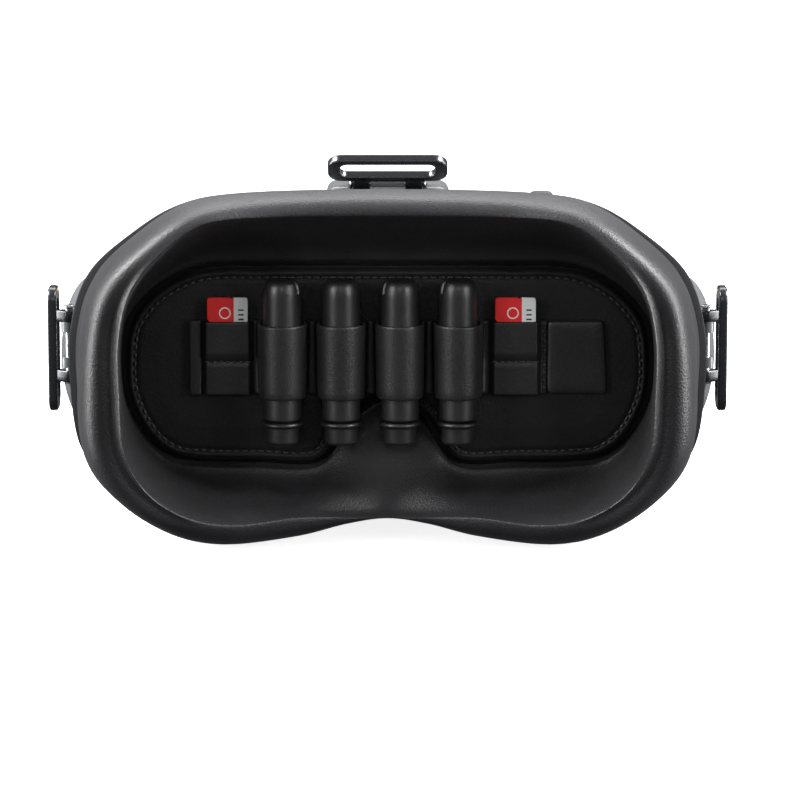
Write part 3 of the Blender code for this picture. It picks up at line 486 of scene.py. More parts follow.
for node in PORTS:
    low, high, middle = box_mm(node)
    reach = math.copysign(PORT_REACH, low.x)
    holes.append(cutter_box((min(low.x, low.x + reach), low.y - GAP, low.z - GAP),
                            (max(high.x, high.x + reach), high.y + GAP, high.z + GAP)))
for number in range(1, 5):
    middle = box_mm("connector_%d" % number)[2]
    side = math.copysign(1, middle.x)
    holes.append(cutter_rod((side * 70, PANEL_Y, middle.z), (side * 90, PANEL_Y, middle.z), SOCKET_HOLE))
carve(housing, holes)
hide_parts("main_housing")


# ---------------------------------------------------------------- visor
# A gloss black cover, moulded in one piece, that closes the front of the shell.
# Its face is gently domed, its edge is rolled, and a fine shadow line runs round the face.

VISOR_SECTION = ((0.0, 61.0), (0.30, 60.95), (0.55, 60.8), (0.72, 60.1), (0.84, 58.0), (0.92, 54.6),
                 (0.965, 49.5), (0.99, 42.5), (1.0, 34.6))
VISOR_MIDDLE = np.array((0.0, 43.5))
VISOR_WALL = 2.0
VISOR_ROWS = 60
SHADOW_LINE_AT = 0.80
SHADOW_LINE_DEPTH = 0.35


def gloss_black():
    """Polished black plastic under a clear coat, with faint dust-fine unevenness."""
    made, tree, shader, place = new_material("gloss black", (0.006, 0.006, 0.007), 0.16)
    vary(tree, shader, tint(tree, noise(tree, place, 25.0), (0.005, 0.005, 0.006), (0.011, 0.011, 0.013)),
         spread(tree, noise(tree, place, 120.0, 5.0), 0.10, 0.22))
    dent(tree, shader, noise(tree, place, 90.0), 0.00001, 0.3)
    fix(shader, {"Coat Weight": 0.5, "Coat Roughness": 0.06})
    return made


def visor_ring(scale):
    """The front's outline drawn in or out about the visor's middle."""
    return VISOR_MIDDLE + (front - VISOR_MIDDLE) * scale


def curve_through(knots, count):
    """An open smooth curve through the knots, with count points spread evenly over the spans."""
    knots = np.asarray(knots, float)
    padded = np.vstack((2 * knots[0] - knots[1], knots, 2 * knots[-1] - knots[-2]))
    place = np.linspace(0, len(knots) - 1 - 1e-9, count)
    span = place.astype(int)
    t = (place - span)[:, None]
    return span_cubic(padded[span], padded[span + 1], padded[span + 2], padded[span + 3], t)


section = curve_through(VISOR_SECTION, VISOR_ROWS)[1:]
section[:, 1] -= SHADOW_LINE_DEPTH * np.exp(-((section[:, 0] - SHADOW_LINE_AT) / 0.008) ** 2)
visor_rows = [at_depth(visor_ring(scale), y) for scale, y in section]
drops = 1.4 * np.sqrt(np.linspace(0, VISOR_WALL, len(section)))
inside_rows = [at_depth(offset(visor_ring(scale), -VISOR_WALL), y - drop)
               for (scale, y), drop in zip(section[::-1], drops) if scale > 0.12]
GLOSS = gloss_black()
visor = skin("visor_cover", np.array(visor_rows + inside_rows), "root", GLOSS, caps=True)
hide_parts("front_visor")


# ---------------------------------------------------------------- vent grilles, finger slides and inner plate
# Slotted plastic grilles sit in the top and the bottom of the shell; the fan blows through them.
# The ribbed rubber finger pieces under the shell set the distance between the eyepieces.

RUBBER = moulded("soft rubber", (0.030, 0.030, 0.033), 0.62, 1800.0, 0.00004)


def dress(paint, *nodes):
    """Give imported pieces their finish."""
    for node in nodes:
        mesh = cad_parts[node].data
        mesh.materials.clear()
        mesh.materials.append(paint)


dress(SHELL_BLACK, "top_vent_grille", "bottom_vent_grille", "eyepiece_plate", "fan_frame", "fan_rotor")
dress(RUBBER, "left_ipd_knob", "right_ipd_knob")


# ---------------------------------------------------------------- keys and menu stick
# Four round rubber-topped keys with a dished top, and a small stick with a waisted cap on a steel shaft.
# They stand through the top of the shell and are sprung from below.

UP = (0, 0, 1)
RIB_COUNT = 16
RIB_DEPTH = 0.12


def soften(profile, size, steps=4):
    """Round the corners of an open profile: each one becomes a quadratic arc no longer than half a side."""
    profile = np.asarray(profile, float)
    made = [profile[0:1]]
    t = np.linspace(0, 1, steps + 1)[:, None]
    for before, corner, after in zip(profile[:-2], profile[1:-1], profile[2:]):
        back, on = before - corner, after - corner
        reach = min(size, np.linalg.norm(back) * 0.45, np.linalg.norm(on) * 0.45)
        start = corner + back / np.linalg.norm(back) * reach
        end = corner + on / np.linalg.norm(on) * reach
        made.append((1 - t) ** 2 * start + 2 * t * (1 - t) * corner + t ** 2 * end)
    made.append(profile[-1:])
    return np.vstack(made)


def turned(name, profile, centre, axis, body, paint, sides=64, ripple=None, fillet=0.25, sharp=35,
           bored=False):
    """A profile of (radius, height), bottom to top, swept round an axis through a point.

    Its corners are rounded with quadratic arcs and both ends close with a flat cap. A bored piece has a
    closed profile, used as it is. ripple(angle, height, radius) may change the radius over the surface.
    """
    points = profile if bored else soften(profile, fillet)
    angle = np.linspace(0, 2 * np.pi, sides, endpoint=False)[None, :]
    radius, height = (np.repeat(points[:, k:k + 1], sides, 1) for k in (0, 1))
    if ripple is not None:
        radius = ripple(angle, height, radius)
    turn = np.array(Vector(axis).to_track_quat("Z", "Y").to_matrix())
    local = np.stack((radius * np.cos(angle), radius * np.sin(angle), height), -1)
    return skin(name, local @ turn.T + np.array(centre, float), body, paint, close_rows=bored,
                caps=not bored, sharp=sharp)


for key in KEYS:
    low, high, middle = box_mm(key + "_button")
    radius = (high.x - low.x) / 2
    profile = ((0.3, low.z), (radius, low.z), (radius, high.z - 0.25), (radius * 0.82, high.z),
               (0.3, high.z - 0.35))
    cap = turned(key + "_button_cap", profile, (middle.x, PANEL_Y, 0), UP, key + "_key", RUBBER,
                 fillet=0.3)
    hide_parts(key + "_button")


def grip_ribs(angle, height, radius):
    """Shallow ribs round the cap's edge: the radius falls by a cosine of the rib count times the angle."""
    return radius - RIB_DEPTH * (radius > 2.5) * (1 - np.cos(RIB_COUNT * angle)) / 2


low, high, middle = box_mm("stick_cap")
cap_profile = ((0.2, low.z), (2.9, low.z), (3.4, low.z + 1.0), (2.7, high.z), (0.2, high.z - 0.3))
stick_cap = turned("stick_grip", cap_profile, (stick_x, PANEL_Y, 0), UP, "stick_head", RUBBER,
                   sides=128, ripple=grip_ribs)
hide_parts("stick_cap")


# ---------------------------------------------------------------- metal finishes, stick shaft and hinge pins
# Steel turned on a lathe and lightly brushed. Each pin has a small head at both ends, is pressed through
# the knuckles of its bracket and carries a buckle.

PIN_RADIUS = 1.1
PIN_HEAD = 1.7


def brushed(name, colour, shine, stretch=(1.0, 1.0, 14.0), metallic=1.0):
    """Metal with fine drawn lines: noise stretched along one axis drives roughness, colour and bump."""
    made, tree, shader, place = new_material(name, colour, shine, metallic)
    drawn = add_node(tree, "Mapping", {"Vector": place}, {"Scale": stretch})["Vector"]
    lines = noise(tree, drawn, 900.0, 4.0, 0.6)
    vary(tree, shader, tint(tree, lines, shade_of(colour, 0.86), colour),
         spread(tree, lines, shine - 0.06, shine + 0.10))
    dent(tree, shader, lines, 0.00001, 0.4)
    return made


STEEL = brushed("turned steel", (0.62, 0.63, 0.65), 0.24)
dress(STEEL, "stick_shaft", "upper_guide_rod", "lower_guide_rod")

for node, axis in (("left_pin", UP), ("right_pin", UP), ("top_pin", (1, 0, 0))):
    low, high, middle = box_mm(node)
    half = (high - low).dot(Vector(axis)) / 2
    lower_end = ((0.2, -half), (PIN_HEAD - 0.2, -half), (PIN_HEAD, -half + 0.65), (PIN_RADIUS, -half + 0.75))
    upper_end = tuple((radius, -height) for radius, height in lower_end[::-1])
    pin = turned(node + "_turned", lower_end + upper_end, middle, axis, "root", STEEL, sides=40)
    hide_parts(node)


# ---------------------------------------------------------------- sockets
# Four gilt brass antenna sockets with a fine thread and a hexagon collar, and four ports in the sides.
# The ports are dark metal shells; the USB port has a contact tongue and the power port a centre pin.

GILT = brushed("gilt brass", (0.74, 0.52, 0.20), 0.22)
CONNECTOR_X = 78.2
THREAD_PITCH = 0.64
THREAD_DEPTH = 0.20
CONNECTOR_PROFILE = ((1.5, -4.0), (3.2, -4.0), (3.2, 0.3), (4.6, 0.3), (4.6, 2.2), (3.1, 2.2), (3.1, 9.6),
                     (1.5, 9.6))


def fine_profile(profile, step):
    """Put extra points along a closed profile so that no stretch is longer than step."""
    profile = np.asarray(profile, float)
    runs = []
    for start, end in zip(profile, np.roll(profile, -1, 0)):
        count = max(1, int(np.ceil(np.linalg.norm(end - start) / step)))
        runs.append(start + (end - start) * np.arange(count)[:, None] / count)
    return np.vstack(runs)


def thread_and_hexagon(angle, height, radius):
    """The barrel's radius dips by a cosine that climbs one pitch a turn; the collar is a rounded hexagon."""
    wave = (1 + np.cos(2 * np.pi * height / THREAD_PITCH - angle)) / 2
    threaded = (radius > 2.8) & (height > 2.6) & (height < 9.2)
    hexagon = math.cos(math.pi / 6) / np.cos(np.mod(angle, math.pi / 3) - math.pi / 6)
    flats = np.where(radius > 4.0, radius * np.minimum(hexagon * 1.06, 1.0), radius)
    return np.where(threaded, radius - THREAD_DEPTH * wave, flats)

for number in range(1, 5):
    node = "connector_%d" % number
    middle = box_mm(node)[2]
    side = math.copysign(1, middle.x)
    socket = turned(node + "_socket", fine_profile(CONNECTOR_PROFILE, THREAD_PITCH / 4),
                    (side * CONNECTOR_X, PANEL_Y, middle.z), (side, 0, 0), "root", GILT, 60,
                    thread_and_hexagon, sharp=50, bored=True)
    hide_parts(node)

dress(brushed("dark anodised metal", (0.045, 0.046, 0.050), 0.27, (1.0, 1.0, 6.0), 0.85), *PORTS)


def rounded_rectangle(low, high, radius, steps):
    """Points round a rectangle: four arcs, each running on to the next."""
    low, high = np.array(low, float), np.array(high, float)
    angle = np.linspace(0, math.pi / 2, steps + 1)[None, :] + np.arange(4)[:, None] * math.pi / 2
    signs = np.array(((1, 1), (-1, 1), (-1, -1), (1, -1)))[:, None, :]
    arcs = signs * ((high - low) / 2 - radius) + radius * np.stack((np.cos(angle), np.sin(angle)), -1)
    return arcs.reshape(-1, 2) + (low + high) / 2


def rounded_block(name, low, high, radius, paint, slot, rows=7):
    """A block with rounded edges: outlines in X and Y shrink by a quarter turn at the bottom and the top."""
    low, high = np.array(low, float), np.array(high, float)
    turn = np.linspace(0, math.pi / 2, rows)
    insets, rises = radius * (1 - np.sin(turn)), radius * (1 - np.cos(turn))
    made = []
    for inset, z in zip(np.r_[insets, insets[::-1]], np.r_[low[2] + rises, high[2] - rises[::-1]]):
        outline = rounded_rectangle(low[:2] + inset, high[:2] - inset, max(radius - inset, radius * 0.3),
                                    rows - 1)
        made.append(np.column_stack((outline, np.full(len(outline), z))))
    return skin(name, np.array(made), "root", paint, caps=True)


low, high, middle = box_mm("usb_port")
rounded_block("usb_tongue", (low.x + 1.2, PANEL_Y - 3.2, middle.z - 0.35),
              (low.x + 6.2, PANEL_Y + 3.2, middle.z + 0.35), 0.2, GILT, "gilt_brass")
low, high, middle = box_mm("power_port")
turned("power_centre_pin", ((0.2, -5.7), (0.65, -5.7), (0.65, -0.9), (0.2, -0.7)),
       (high.x, PANEL_Y, middle.z), (1, 0, 0), "root", GILT, sides=24)


# ---------------------------------------------------------------- optics, board and cooling
# Coated glass lenses in black barrels, small flat displays, a soldered board and a finned aluminium sink.
# They sit inside the shell and show through the eye windows when the pad is out.

LENS_Z = 50.0
LENS_FRONT_Y = -11.0
LENS_BACK_Y = -19.2
LENS_EDGE = (-15.6, -14.2)


def coated_glass():
    """Lens glass with a faint blue-green coating that changes slightly over the face."""
    made, tree, shader, place = new_material("coated glass", (0.55, 0.62, 0.75), 0.03)
    fix(shader, {"Transmission Weight": 0.85, "IOR": 1.5})
    vary(tree, shader, tint(tree, noise(tree, place, 40.0), (0.42, 0.55, 0.75), (0.55, 0.75, 0.70)),
         spread(tree, noise(tree, place, 150.0), 0.02, 0.06))
    return made


def circuit_board():
    """Green solder mask over copper runs: cell edges stand proud and lighter."""
    made, tree, shader, place = new_material("circuit board", (0.01, 0.09, 0.04), 0.35)
    runs = spread(tree, cells(tree, place, 260.0, "DISTANCE_TO_EDGE"), 1, 0, (0.02, 0.06))
    vary(tree, shader, tint(tree, runs, (0.008, 0.07, 0.03), (0.03, 0.20, 0.08)),
         spread(tree, noise(tree, place, 500.0), 0.28, 0.42))
    dent(tree, shader, runs, 0.00004, 0.6)
    return made


def lens_face(radius, middle_y, edge_y):
    """One face of a lens from the middle out: its depth goes with the square of the distance."""
    share = np.linspace(0.02, 1, 24)
    return np.column_stack((radius * share, middle_y + (edge_y - middle_y) * share ** 2))


GLASS = coated_glass()
for side_name in ("left", "right"):
    low, high, middle = box_mm(side_name + "_lens")
    radius = (high.x - low.x) / 2
    profile = np.vstack((lens_face(radius, LENS_BACK_Y, LENS_EDGE[0]),
                         lens_face(radius, LENS_FRONT_Y, LENS_EDGE[1])[::-1]))
    lens = turned(side_name + "_lens_glass", profile, (middle.x, 0, LENS_Z), (0, 1, 0),
                  side_name + "_carriage", GLASS, sides=96, fillet=0.05)
    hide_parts(side_name + "_lens")
dress(SHELL_BLACK, "left_lens_barrel", "right_lens_barrel")
dress(GLOSS, "left_display", "right_display")
dress(circuit_board(), "main_board")
dress(brushed("milled aluminium", (0.70, 0.71, 0.73), 0.30), "heat_sink")


# ---------------------------------------------------------------- buckle brackets
# Grey moulded pods on the sides and over the brow. Two knuckles on each carry the hinge pin.
# They are moulded to the shell's curve and screwed on from inside.

GREY = moulded("grey shell", (0.10, 0.103, 0.108), 0.28, 2200.0, 0.000015)
SIDE_PIN = (89.0, -12.6)
SIDE_LOOP_Z = 51.4
POD_MIDDLE = (82.5, 2.0, 46.5)
POD_RADII = (10.0, 13.5, 22.5)
ARM_INNER = 6.8
ARM_WIDTH = 3.3
EYE_RADIUS = 2.3
LOOP_WIDTH = 34.2
SIDE_LOOP_WIDTH = 34.9
TOP_LOOP_WIDTH = 33.2
LOOP_LENGTH = 10.8
LOOP_THICKNESS = 2.5
LOOP_BAR = 2.2
TOP_PIN = (-8.5, 96.2)
POD_HOLLOW = 6.4
KNUCKLE_DEPTH = 3.3
WEB = (3.6, 0.9)
WEB_END_Y = -3.0
BORE_HALF = 8
BORE_RADIUS = PIN_RADIUS + 0.1
TOP_POD = ((-17.2, -13.5, 86.0), (17.2, 7.0, 95.6))
TOP_POD_ROUND = 3.0
TOP_KNUCKLE = 4.7
TOP_HOLLOW = 5.2
TOP_HOLLOW_END = 11.0
TOP_BORE_HALF = 9


def shell_cutter():
    """The shell's outer form, a gap proud and closed at both ends, for cutting only."""
    rows = [at_depth(offset(shell_outline(HOUSING_Y[0]), GAP), -30.0)]
    rows += [at_depth(offset(shell_outline(y), GAP), y) for y in housing_depths]
    tool = skin("shell_form", np.array(rows), "root", SHELL_BLACK, caps=True)
    tool.parent = None
    return tool


for side_name, side in (("left", -1), ("right", 1)):
    # An ellipsoid bulge, cut to the shell and hollowed for the loop, with two knuckles on webs.
    azimuth = np.linspace(0, 2 * np.pi, 96, endpoint=False)[None, :]
    polar = np.linspace(0.02, np.pi - 0.02, 56)[:, None]
    unit = np.stack(np.broadcast_arrays(np.sin(polar) * np.cos(azimuth), np.sin(polar) * np.sin(azimuth),
                                        np.cos(polar)), -1)
    pod_middle = np.array((side * POD_MIDDLE[0], *POD_MIDDLE[1:]))
    pod = skin(side_name + "_pod", unit * np.array(POD_RADII) + pod_middle, "root", GREY,
               caps=True)
    pin_x, pin_y = side * SIDE_PIN[0], SIDE_PIN[1]
    half = LOOP_WIDTH / 2 + 1.0
    carve(pod, [cutter_rod((pin_x, pin_y, SIDE_LOOP_Z - half), (pin_x, pin_y, SIDE_LOOP_Z + half),
                           POD_HOLLOW)])
    knuckles = []
    for sign in (-1, 1):
        low_z, high_z = sorted(SIDE_LOOP_Z + sign * (ARM_INNER - gap) for gap in (GAP, KNUCKLE_DEPTH))
        knuckles.append(cutter_rod((pin_x, pin_y, low_z), (pin_x, pin_y, high_z), EYE_RADIUS, 32))
        near, far = sorted(pin_x - side * share for share in WEB)
        knuckles.append(cutter_box((near, pin_y, low_z), (far, WEB_END_Y, high_z)))
    carve(pod, knuckles, "UNION")
    bore = cutter_rod((pin_x, pin_y, SIDE_LOOP_Z - BORE_HALF), (pin_x, pin_y, SIDE_LOOP_Z + BORE_HALF),
                      BORE_RADIUS)
    carve(pod, [bore, shell_cutter()])
    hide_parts(side_name + "_bracket")

pin_y, pin_z = TOP_PIN
top_pod = rounded_block("top_pod", *TOP_POD, TOP_POD_ROUND, GREY, "grey_shell")
carve(top_pod, [cutter_rod((low, pin_y, pin_z), (high, pin_y, pin_z), TOP_HOLLOW)
                for low, high in ((TOP_KNUCKLE, TOP_HOLLOW_END), (-TOP_HOLLOW_END, -TOP_KNUCKLE))])
carve(top_pod, [cutter_rod((-TOP_KNUCKLE, pin_y, pin_z), (TOP_KNUCKLE, pin_y, pin_z), EYE_RADIUS, 32),
                cutter_box((-TOP_KNUCKLE, pin_y - 1.5, pin_z - 4.0),
                           (TOP_KNUCKLE, pin_y + 1.5, pin_z - 1.0))], "UNION")
bore = cutter_rod((-TOP_BORE_HALF, pin_y, pin_z), (TOP_BORE_HALF, pin_y, pin_z), BORE_RADIUS)
carve(top_pod, [bore, shell_cutter()])
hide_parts("top_bracket")


# ---------------------------------------------------------------- strap loops
# Die-cast metal loops that the head strap is threaded through, satin black, with well rounded edges.
# Two flat arms on each reach back to the hinge pin and swing on it.

SIDE_SPLAY = math.radians(1)
TOP_LEAN = math.radians(38)
LOOP_STAND_OFF = 4.0
LOOP_CORNERS = (3.8, 2.2)
LOOP_CORNER_STEPS = 14
LOOP_SECTION_STEPS = 36
SQUARENESS = 0.42
ARM_EDGE = 0.4
ARM_END_RADIUS = 1.2
BUCKLE_METAL = brushed("satin black metal", (0.075, 0.077, 0.082), 0.26, (1.0, 1.0, 5.0), 0.85)


def superellipse(angle, power):
    """Cosine and sine, each raised to a power with its sign kept."""
    return [np.sign(wave) * np.abs(wave) ** power for wave in (np.cos(angle), np.sin(angle))]


def loop_surface(width, reach, lift):
    """The loop in its own frame: a superellipse section carried round between two rounded rectangles."""
    half, bar = width / 2, LOOP_BAR * 1.6
    outside = rounded_rectangle((-half, reach), (half, reach + LOOP_LENGTH), LOOP_CORNERS[0],
                                LOOP_CORNER_STEPS)
    inside = rounded_rectangle((-half + bar, reach + LOOP_BAR), (half - bar, reach + LOOP_LENGTH - LOOP_BAR),
                               LOOP_CORNERS[1], LOOP_CORNER_STEPS)
    across, up = superellipse(np.linspace(0, 2 * math.pi, LOOP_SECTION_STEPS, endpoint=False), SQUARENESS)
    flat = inside[:, None, :] + (outside - inside)[:, None, :] * (1 + across)[None, :, None] / 2
    height = np.broadcast_to(lift + up * LOOP_THICKNESS / 2, flat.shape[:2])
    return np.concatenate((flat, height[..., None]), -1)


def arm_surface(low, high, end):
    """A flat link in its own frame, from the pin to its end: the hull of two circles in Y and Z.

    It is thickened along X, and its edges are rounded by two steps inwards on each side.
    """
    end = np.array(end, float)
    reach = np.linalg.norm(end)
    angle = np.linspace(0, 2 * math.pi, 64, endpoint=False)
    facing = np.stack((np.cos(angle), np.sin(angle)), -1)
    ahead = (facing @ (end / reach) > (EYE_RADIUS - ARM_END_RADIUS) / reach)[:, None]
    steps = ((0.0, ARM_EDGE), (ARM_EDGE * 0.3, ARM_EDGE * 0.3), (ARM_EDGE, 0.0))
    rows = []
    for x, inset in [(low + step, inset) for step, inset in steps] + [(high - step, inset)
                                                                       for step, inset in steps[::-1]]:
        hull = np.where(ahead, end + facing * (ARM_END_RADIUS - inset), facing * (EYE_RADIUS - inset))
        rows.append(np.column_stack((np.full(len(hull), x), hull)))
    return np.array(rows)


def place_loop(name, body, axes, origin, loop_points, arms, arm_end):
    """Turn the loop and its arms from their own frame into the goggles' frame and build them."""
    turn, origin = np.array(axes), np.array(origin, float)
    loop = skin(name + "_frame", loop_points @ turn + origin, body, BUCKLE_METAL,
                close_rows=True, sharp=60)
    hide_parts(name)
    for number, (low, high) in enumerate(arms, 1):
        skin("%s_arm_%d" % (name, number), arm_surface(low, high, arm_end) @ turn + origin, body,
             BUCKLE_METAL, caps=True, sharp=50)


for side_name, side in (("left", -1), ("right", 1)):
    out = np.array((side * math.cos(SIDE_SPLAY), math.sin(SIDE_SPLAY), 0.0))
    away = np.array((side * math.sin(SIDE_SPLAY), -math.cos(SIDE_SPLAY), 0.0))
    place_loop(side_name + "_loop", side_name + "_buckle", (np.cross(away, out), away, out),
               (side * SIDE_PIN[0], SIDE_PIN[1], SIDE_LOOP_Z - 0.5),
               loop_surface(SIDE_LOOP_WIDTH, -2.2, LOOP_STAND_OFF),
               ((ARM_INNER, ARM_INNER + ARM_WIDTH), (-ARM_INNER - ARM_WIDTH, -ARM_INNER)),
               (-1.1, LOOP_STAND_OFF - 0.6))
away = np.array((0.0, -math.cos(TOP_LEAN), math.sin(TOP_LEAN)))
across = np.array((-1.0, 0.0, 0.0))
place_loop("top_loop", "top_buckle", (across, away, np.cross(across, away)), (0.0, *TOP_PIN),
           loop_surface(TOP_LOOP_WIDTH, 2.7, 0.0), ((5.0, 9.6), (-9.6, -5.0)), (3.4, 0.0))


# ---------------------------------------------------------------- storage pad
# A soft pad of leather over thin foam that fills the opening, cut out over the nose.
# A row of stitches runs close to its edge, and the padding swells on both sides of it.

PAD_FRONT_Y = -30.0
PAD_BACK_Y = -24.3
PAD_CLEARANCE = 1.5
PAD_VOXEL = 1.3
STITCH_INSET = 2.7
SEAM_DEPTH = 0.55
SEAM_WIDTH = 0.55
STITCH_LENGTH = 1.75
STITCH_PITCH = 2.3
THREAD_RADIUS = 0.29
PAD_LEATHER = leather("pad leather", (0.006, 0.006, 0.0065), 0.50, 1700.0, 0.00009, 0.38)


def distance_to(outline, points):
    """Shortest distance from each (x, z) point to the sides of a closed outline."""
    start, end = outline, np.roll(outline, -1, 0)
    side = end - start
    best = np.full(len(points), np.inf)
    for a, s in zip(start, side):
        gap = points - a
        share = np.clip(gap @ s / max(s @ s, 1e-9), 0, 1)
        best = np.minimum(best, np.linalg.norm(gap - share[:, None] * s, axis=1))
    return best


def soften_skin(piece, factor, rounds):
    """Even out a skin with the smooth modifier."""
    smooth = piece.modifiers.new("even out", "SMOOTH")
    smooth.factor = factor
    smooth.iterations = rounds
    apply_all(piece, 60)


pad_edge = offset(mouth, -PAD_CLEARANCE)[::2]
pad_plate = np.array([at_depth(pad_edge, PAD_BACK_Y), at_depth(pad_edge, PAD_FRONT_Y + 0.3)])
pad = skin("pad_cushion", pad_plate, "pad", PAD_LEATHER, caps=True)
voxels = pad.modifiers.new("skin", "REMESH")
voxels.mode = "VOXEL"
voxels.voxel_size = PAD_VOXEL * MM
apply_all(pad)
soften_skin(pad, 0.5, 6)
points = coordinates(pad.data)
inset = distance_to(pad_edge, points[:, (0, 2)])
sewn = (points[:, 1] > PAD_FRONT_Y + 1.6) | (np.abs(inset - STITCH_INSET) < 0.7)
puff(pad, sewn, 3.0, 1.1)
points = coordinates(pad.data)
swell = pad.modifiers.new("finer", "SUBSURF")
swell.levels = swell.render_levels = 1
apply_all(pad, 60)
points = coordinates(pad.data)
inset = distance_to(pad_edge, points[:, (0, 2)])
facing = np.clip((PAD_FRONT_Y + 2.2 - points[:, 1]) / 1.6, 0, 1)
seam = SEAM_DEPTH * np.exp(-((inset - STITCH_INSET) / SEAM_WIDTH) ** 2)
roll = 0.55 * np.sin(np.pi * np.clip(inset / STITCH_INSET, 0, 1)) + 0.35 * np.clip((inset - 3.5) / 6, 0, 1)
points[:, 1] += facing * (seam - roll)
set_coordinates(pad.data, points)
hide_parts("storage_pad")


def waxed_thread():
    """Waxed black thread: twisted strands as slanting waves, with a painted highlight on the crowns."""
    made, tree, shader, place = new_material("waxed thread", (0.05, 0.05, 0.052), 0.42)
    twist_and_highlight = add_node(tree, "TexWave", {"Vector": place}, {"Scale": 900.0}, bands_direction="DIAGONAL")["Fac"]
    # The colour is lighter where the twist's bump stands highest: a painted highlight on the strands' crowns.
    tree.links.new(tint(tree, twist_and_highlight, (0.010, 0.010, 0.011), (0.06, 0.06, 0.063)), shader.inputs["Base Color"])
    dent(tree, shader, twist_and_highlight, 0.00004, 0.6)
    return made


THREAD = waxed_thread()


def along_line(line, pitch, closed):
    """Middles and directions of stitches spaced evenly along a line of (x, y, z) points."""
    if closed:
        line = np.vstack((line, line[:1]))
    run = np.r_[0, np.cumsum(np.linalg.norm(np.diff(line, axis=0), axis=1))]
    count = max(1, int(round(run[-1] / pitch)))
    places = (np.arange(count) + 0.5) * run[-1] / count
    at = [np.stack([np.interp(places + shift, run, line[:, k]) for k in range(3)], -1)
          for shift in (-0.2, 0.0, 0.2)]
    direction = at[2] - at[0]
    return at[1], direction / np.linalg.norm(direction, axis=1, keepdims=True)


def stitches(name, line, closed, length=STITCH_LENGTH, pitch=STITCH_PITCH):
    """A row of stitches as one mesh: each one a bowed capsule, x along the seam and up out of the skin.

    Across the stitch the section is a circle; its radius falls off as a superellipse to both ends,
    and the middle stands one radius higher than the ends.
    """
    middles, direction = along_line(line, pitch, closed)
    out = np.array((0.0, -1.0, 0.0))
    aside = np.cross(direction, out)[:, None, None, :]
    share = np.array((-1.0, -0.92, -0.6, 0.0, 0.6, 0.92, 1.0))
    thick = THREAD_RADIUS * np.array((0.12, 0.6, 0.95, 1.0, 0.95, 0.6, 0.12))[:, None]
    bow = THREAD_RADIUS * (1 - share ** 2)[:, None]
    angle = np.linspace(0, 2 * np.pi, 8, endpoint=False)
    points = (middles[:, None, None, :]
              + direction[:, None, None, :] * (share * length / 2)[None, :, None, None]
              + out * (bow + thick * np.cos(angle))[None, :, :, None]
              + aside * (thick * np.sin(angle))[None, :, :, None])
    count, rings, sides = points.shape[:3]
    index = np.arange(rings * sides).reshape(rings, sides)
    quads = grid_quads(index)
    starts = (np.arange(count) * rings * sides)[:, None]
    faces = (quads[None] + starts[..., None]).reshape(-1, 4).tolist()
    faces += (index[0, ::-1] + starts).tolist() + (index[-1] + starts).tolist()
    a, b, c = (points[0].reshape(-1, 3)[quads[0][i]] for i in range(3))
    inside_out = np.cross(b - a, c - a) @ (a - points[0, 0].mean(0)) < 0
    piece = build(name, points, faces, THREAD, inside_out)
    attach(piece, "pad")


seam_line = at_depth(offset(pad_edge, -STITCH_INSET), PAD_FRONT_Y + SEAM_DEPTH * 0.45)
stitches("pad_stitching", seam_line, True)


# ---------------------------------------------------------------- holder strip
# A leather strip sewn to the pad. It is looped up into four sleeves for the antennas and left a little slack
# over the cards, which stand in pockets closed by a row of stitches half way down.

STRIP_LEFT = -54.4
STRIP_RIGHT = 43.6
STRIP_BOTTOM = 40.5
STRIP_TOP = 61.0
STRIP_THICKNESS = 0.95
STRIP_Y = PAD_FRONT_Y - 1.0
STRIP_LEATHER = leather("strip leather", (0.008, 0.008, 0.0085), 0.42, 2100.0, 0.00005, 0.7)
ANTENNA_X = np.array([box_mm("antenna_%d" % number)[2].x for number in range(1, 5)])
ANTENNA_Y = -37.0
SLEEVE_RADIUS = 6.25
SLEEVE_FOOT = 1.6
SLEEVE_CLEAR = 8.4
DOWN_STEPS = 44
EDGE_ROUND = 0.5
CARD_X = {name: box_mm(name)[2].x for name in ("card_left", "card_right")}
POCKET_HALF = 7.4
POCKET_RISE = 2.75
POCKET_SEAM_Z = 49.8
TAB_LEFT = 43.9
TAB_RIGHT = 60.1
FOLD_WIDTH = 3.2


def sleeve_path(x):
    """One sleeve in plan: up from the pad with a small turn at the foot, round the antenna, and down."""
    foot = np.radians(np.linspace(90, 0, 7))
    left_foot = np.column_stack((x - SLEEVE_RADIUS - SLEEVE_FOOT + SLEEVE_FOOT * np.cos(foot),
                                 STRIP_Y - SLEEVE_FOOT + SLEEVE_FOOT * np.sin(foot)))
    side = np.column_stack((np.full(5, x - SLEEVE_RADIUS), np.linspace(STRIP_Y - 2.2, ANTENNA_Y + 0.4, 5)))
    turn = np.radians(np.linspace(180, 360, 41))
    crown = np.column_stack((x + SLEEVE_RADIUS * np.cos(turn), ANTENNA_Y + SLEEVE_RADIUS * np.sin(turn)))
    half = np.vstack((left_foot, side))
    other = half[::-1] * (-1, 1) + (2 * x, 0)
    return np.vstack((half, crown, other))


flat_left = np.column_stack((np.linspace(STRIP_LEFT, ANTENNA_X[0] - SLEEVE_CLEAR, 60), np.full(60, STRIP_Y)))
flat_right = np.column_stack((np.linspace(ANTENNA_X[-1] + SLEEVE_CLEAR, STRIP_RIGHT, 60),
                              np.full(60, STRIP_Y)))
plan = np.vstack([flat_left] + [sleeve_path(x) for x in ANTENNA_X] + [flat_right])
travel = np.gradient(plan, axis=0)
travel /= np.linalg.norm(travel, axis=1, keepdims=True)
normal = np.column_stack((travel[:, 1], -travel[:, 0]))

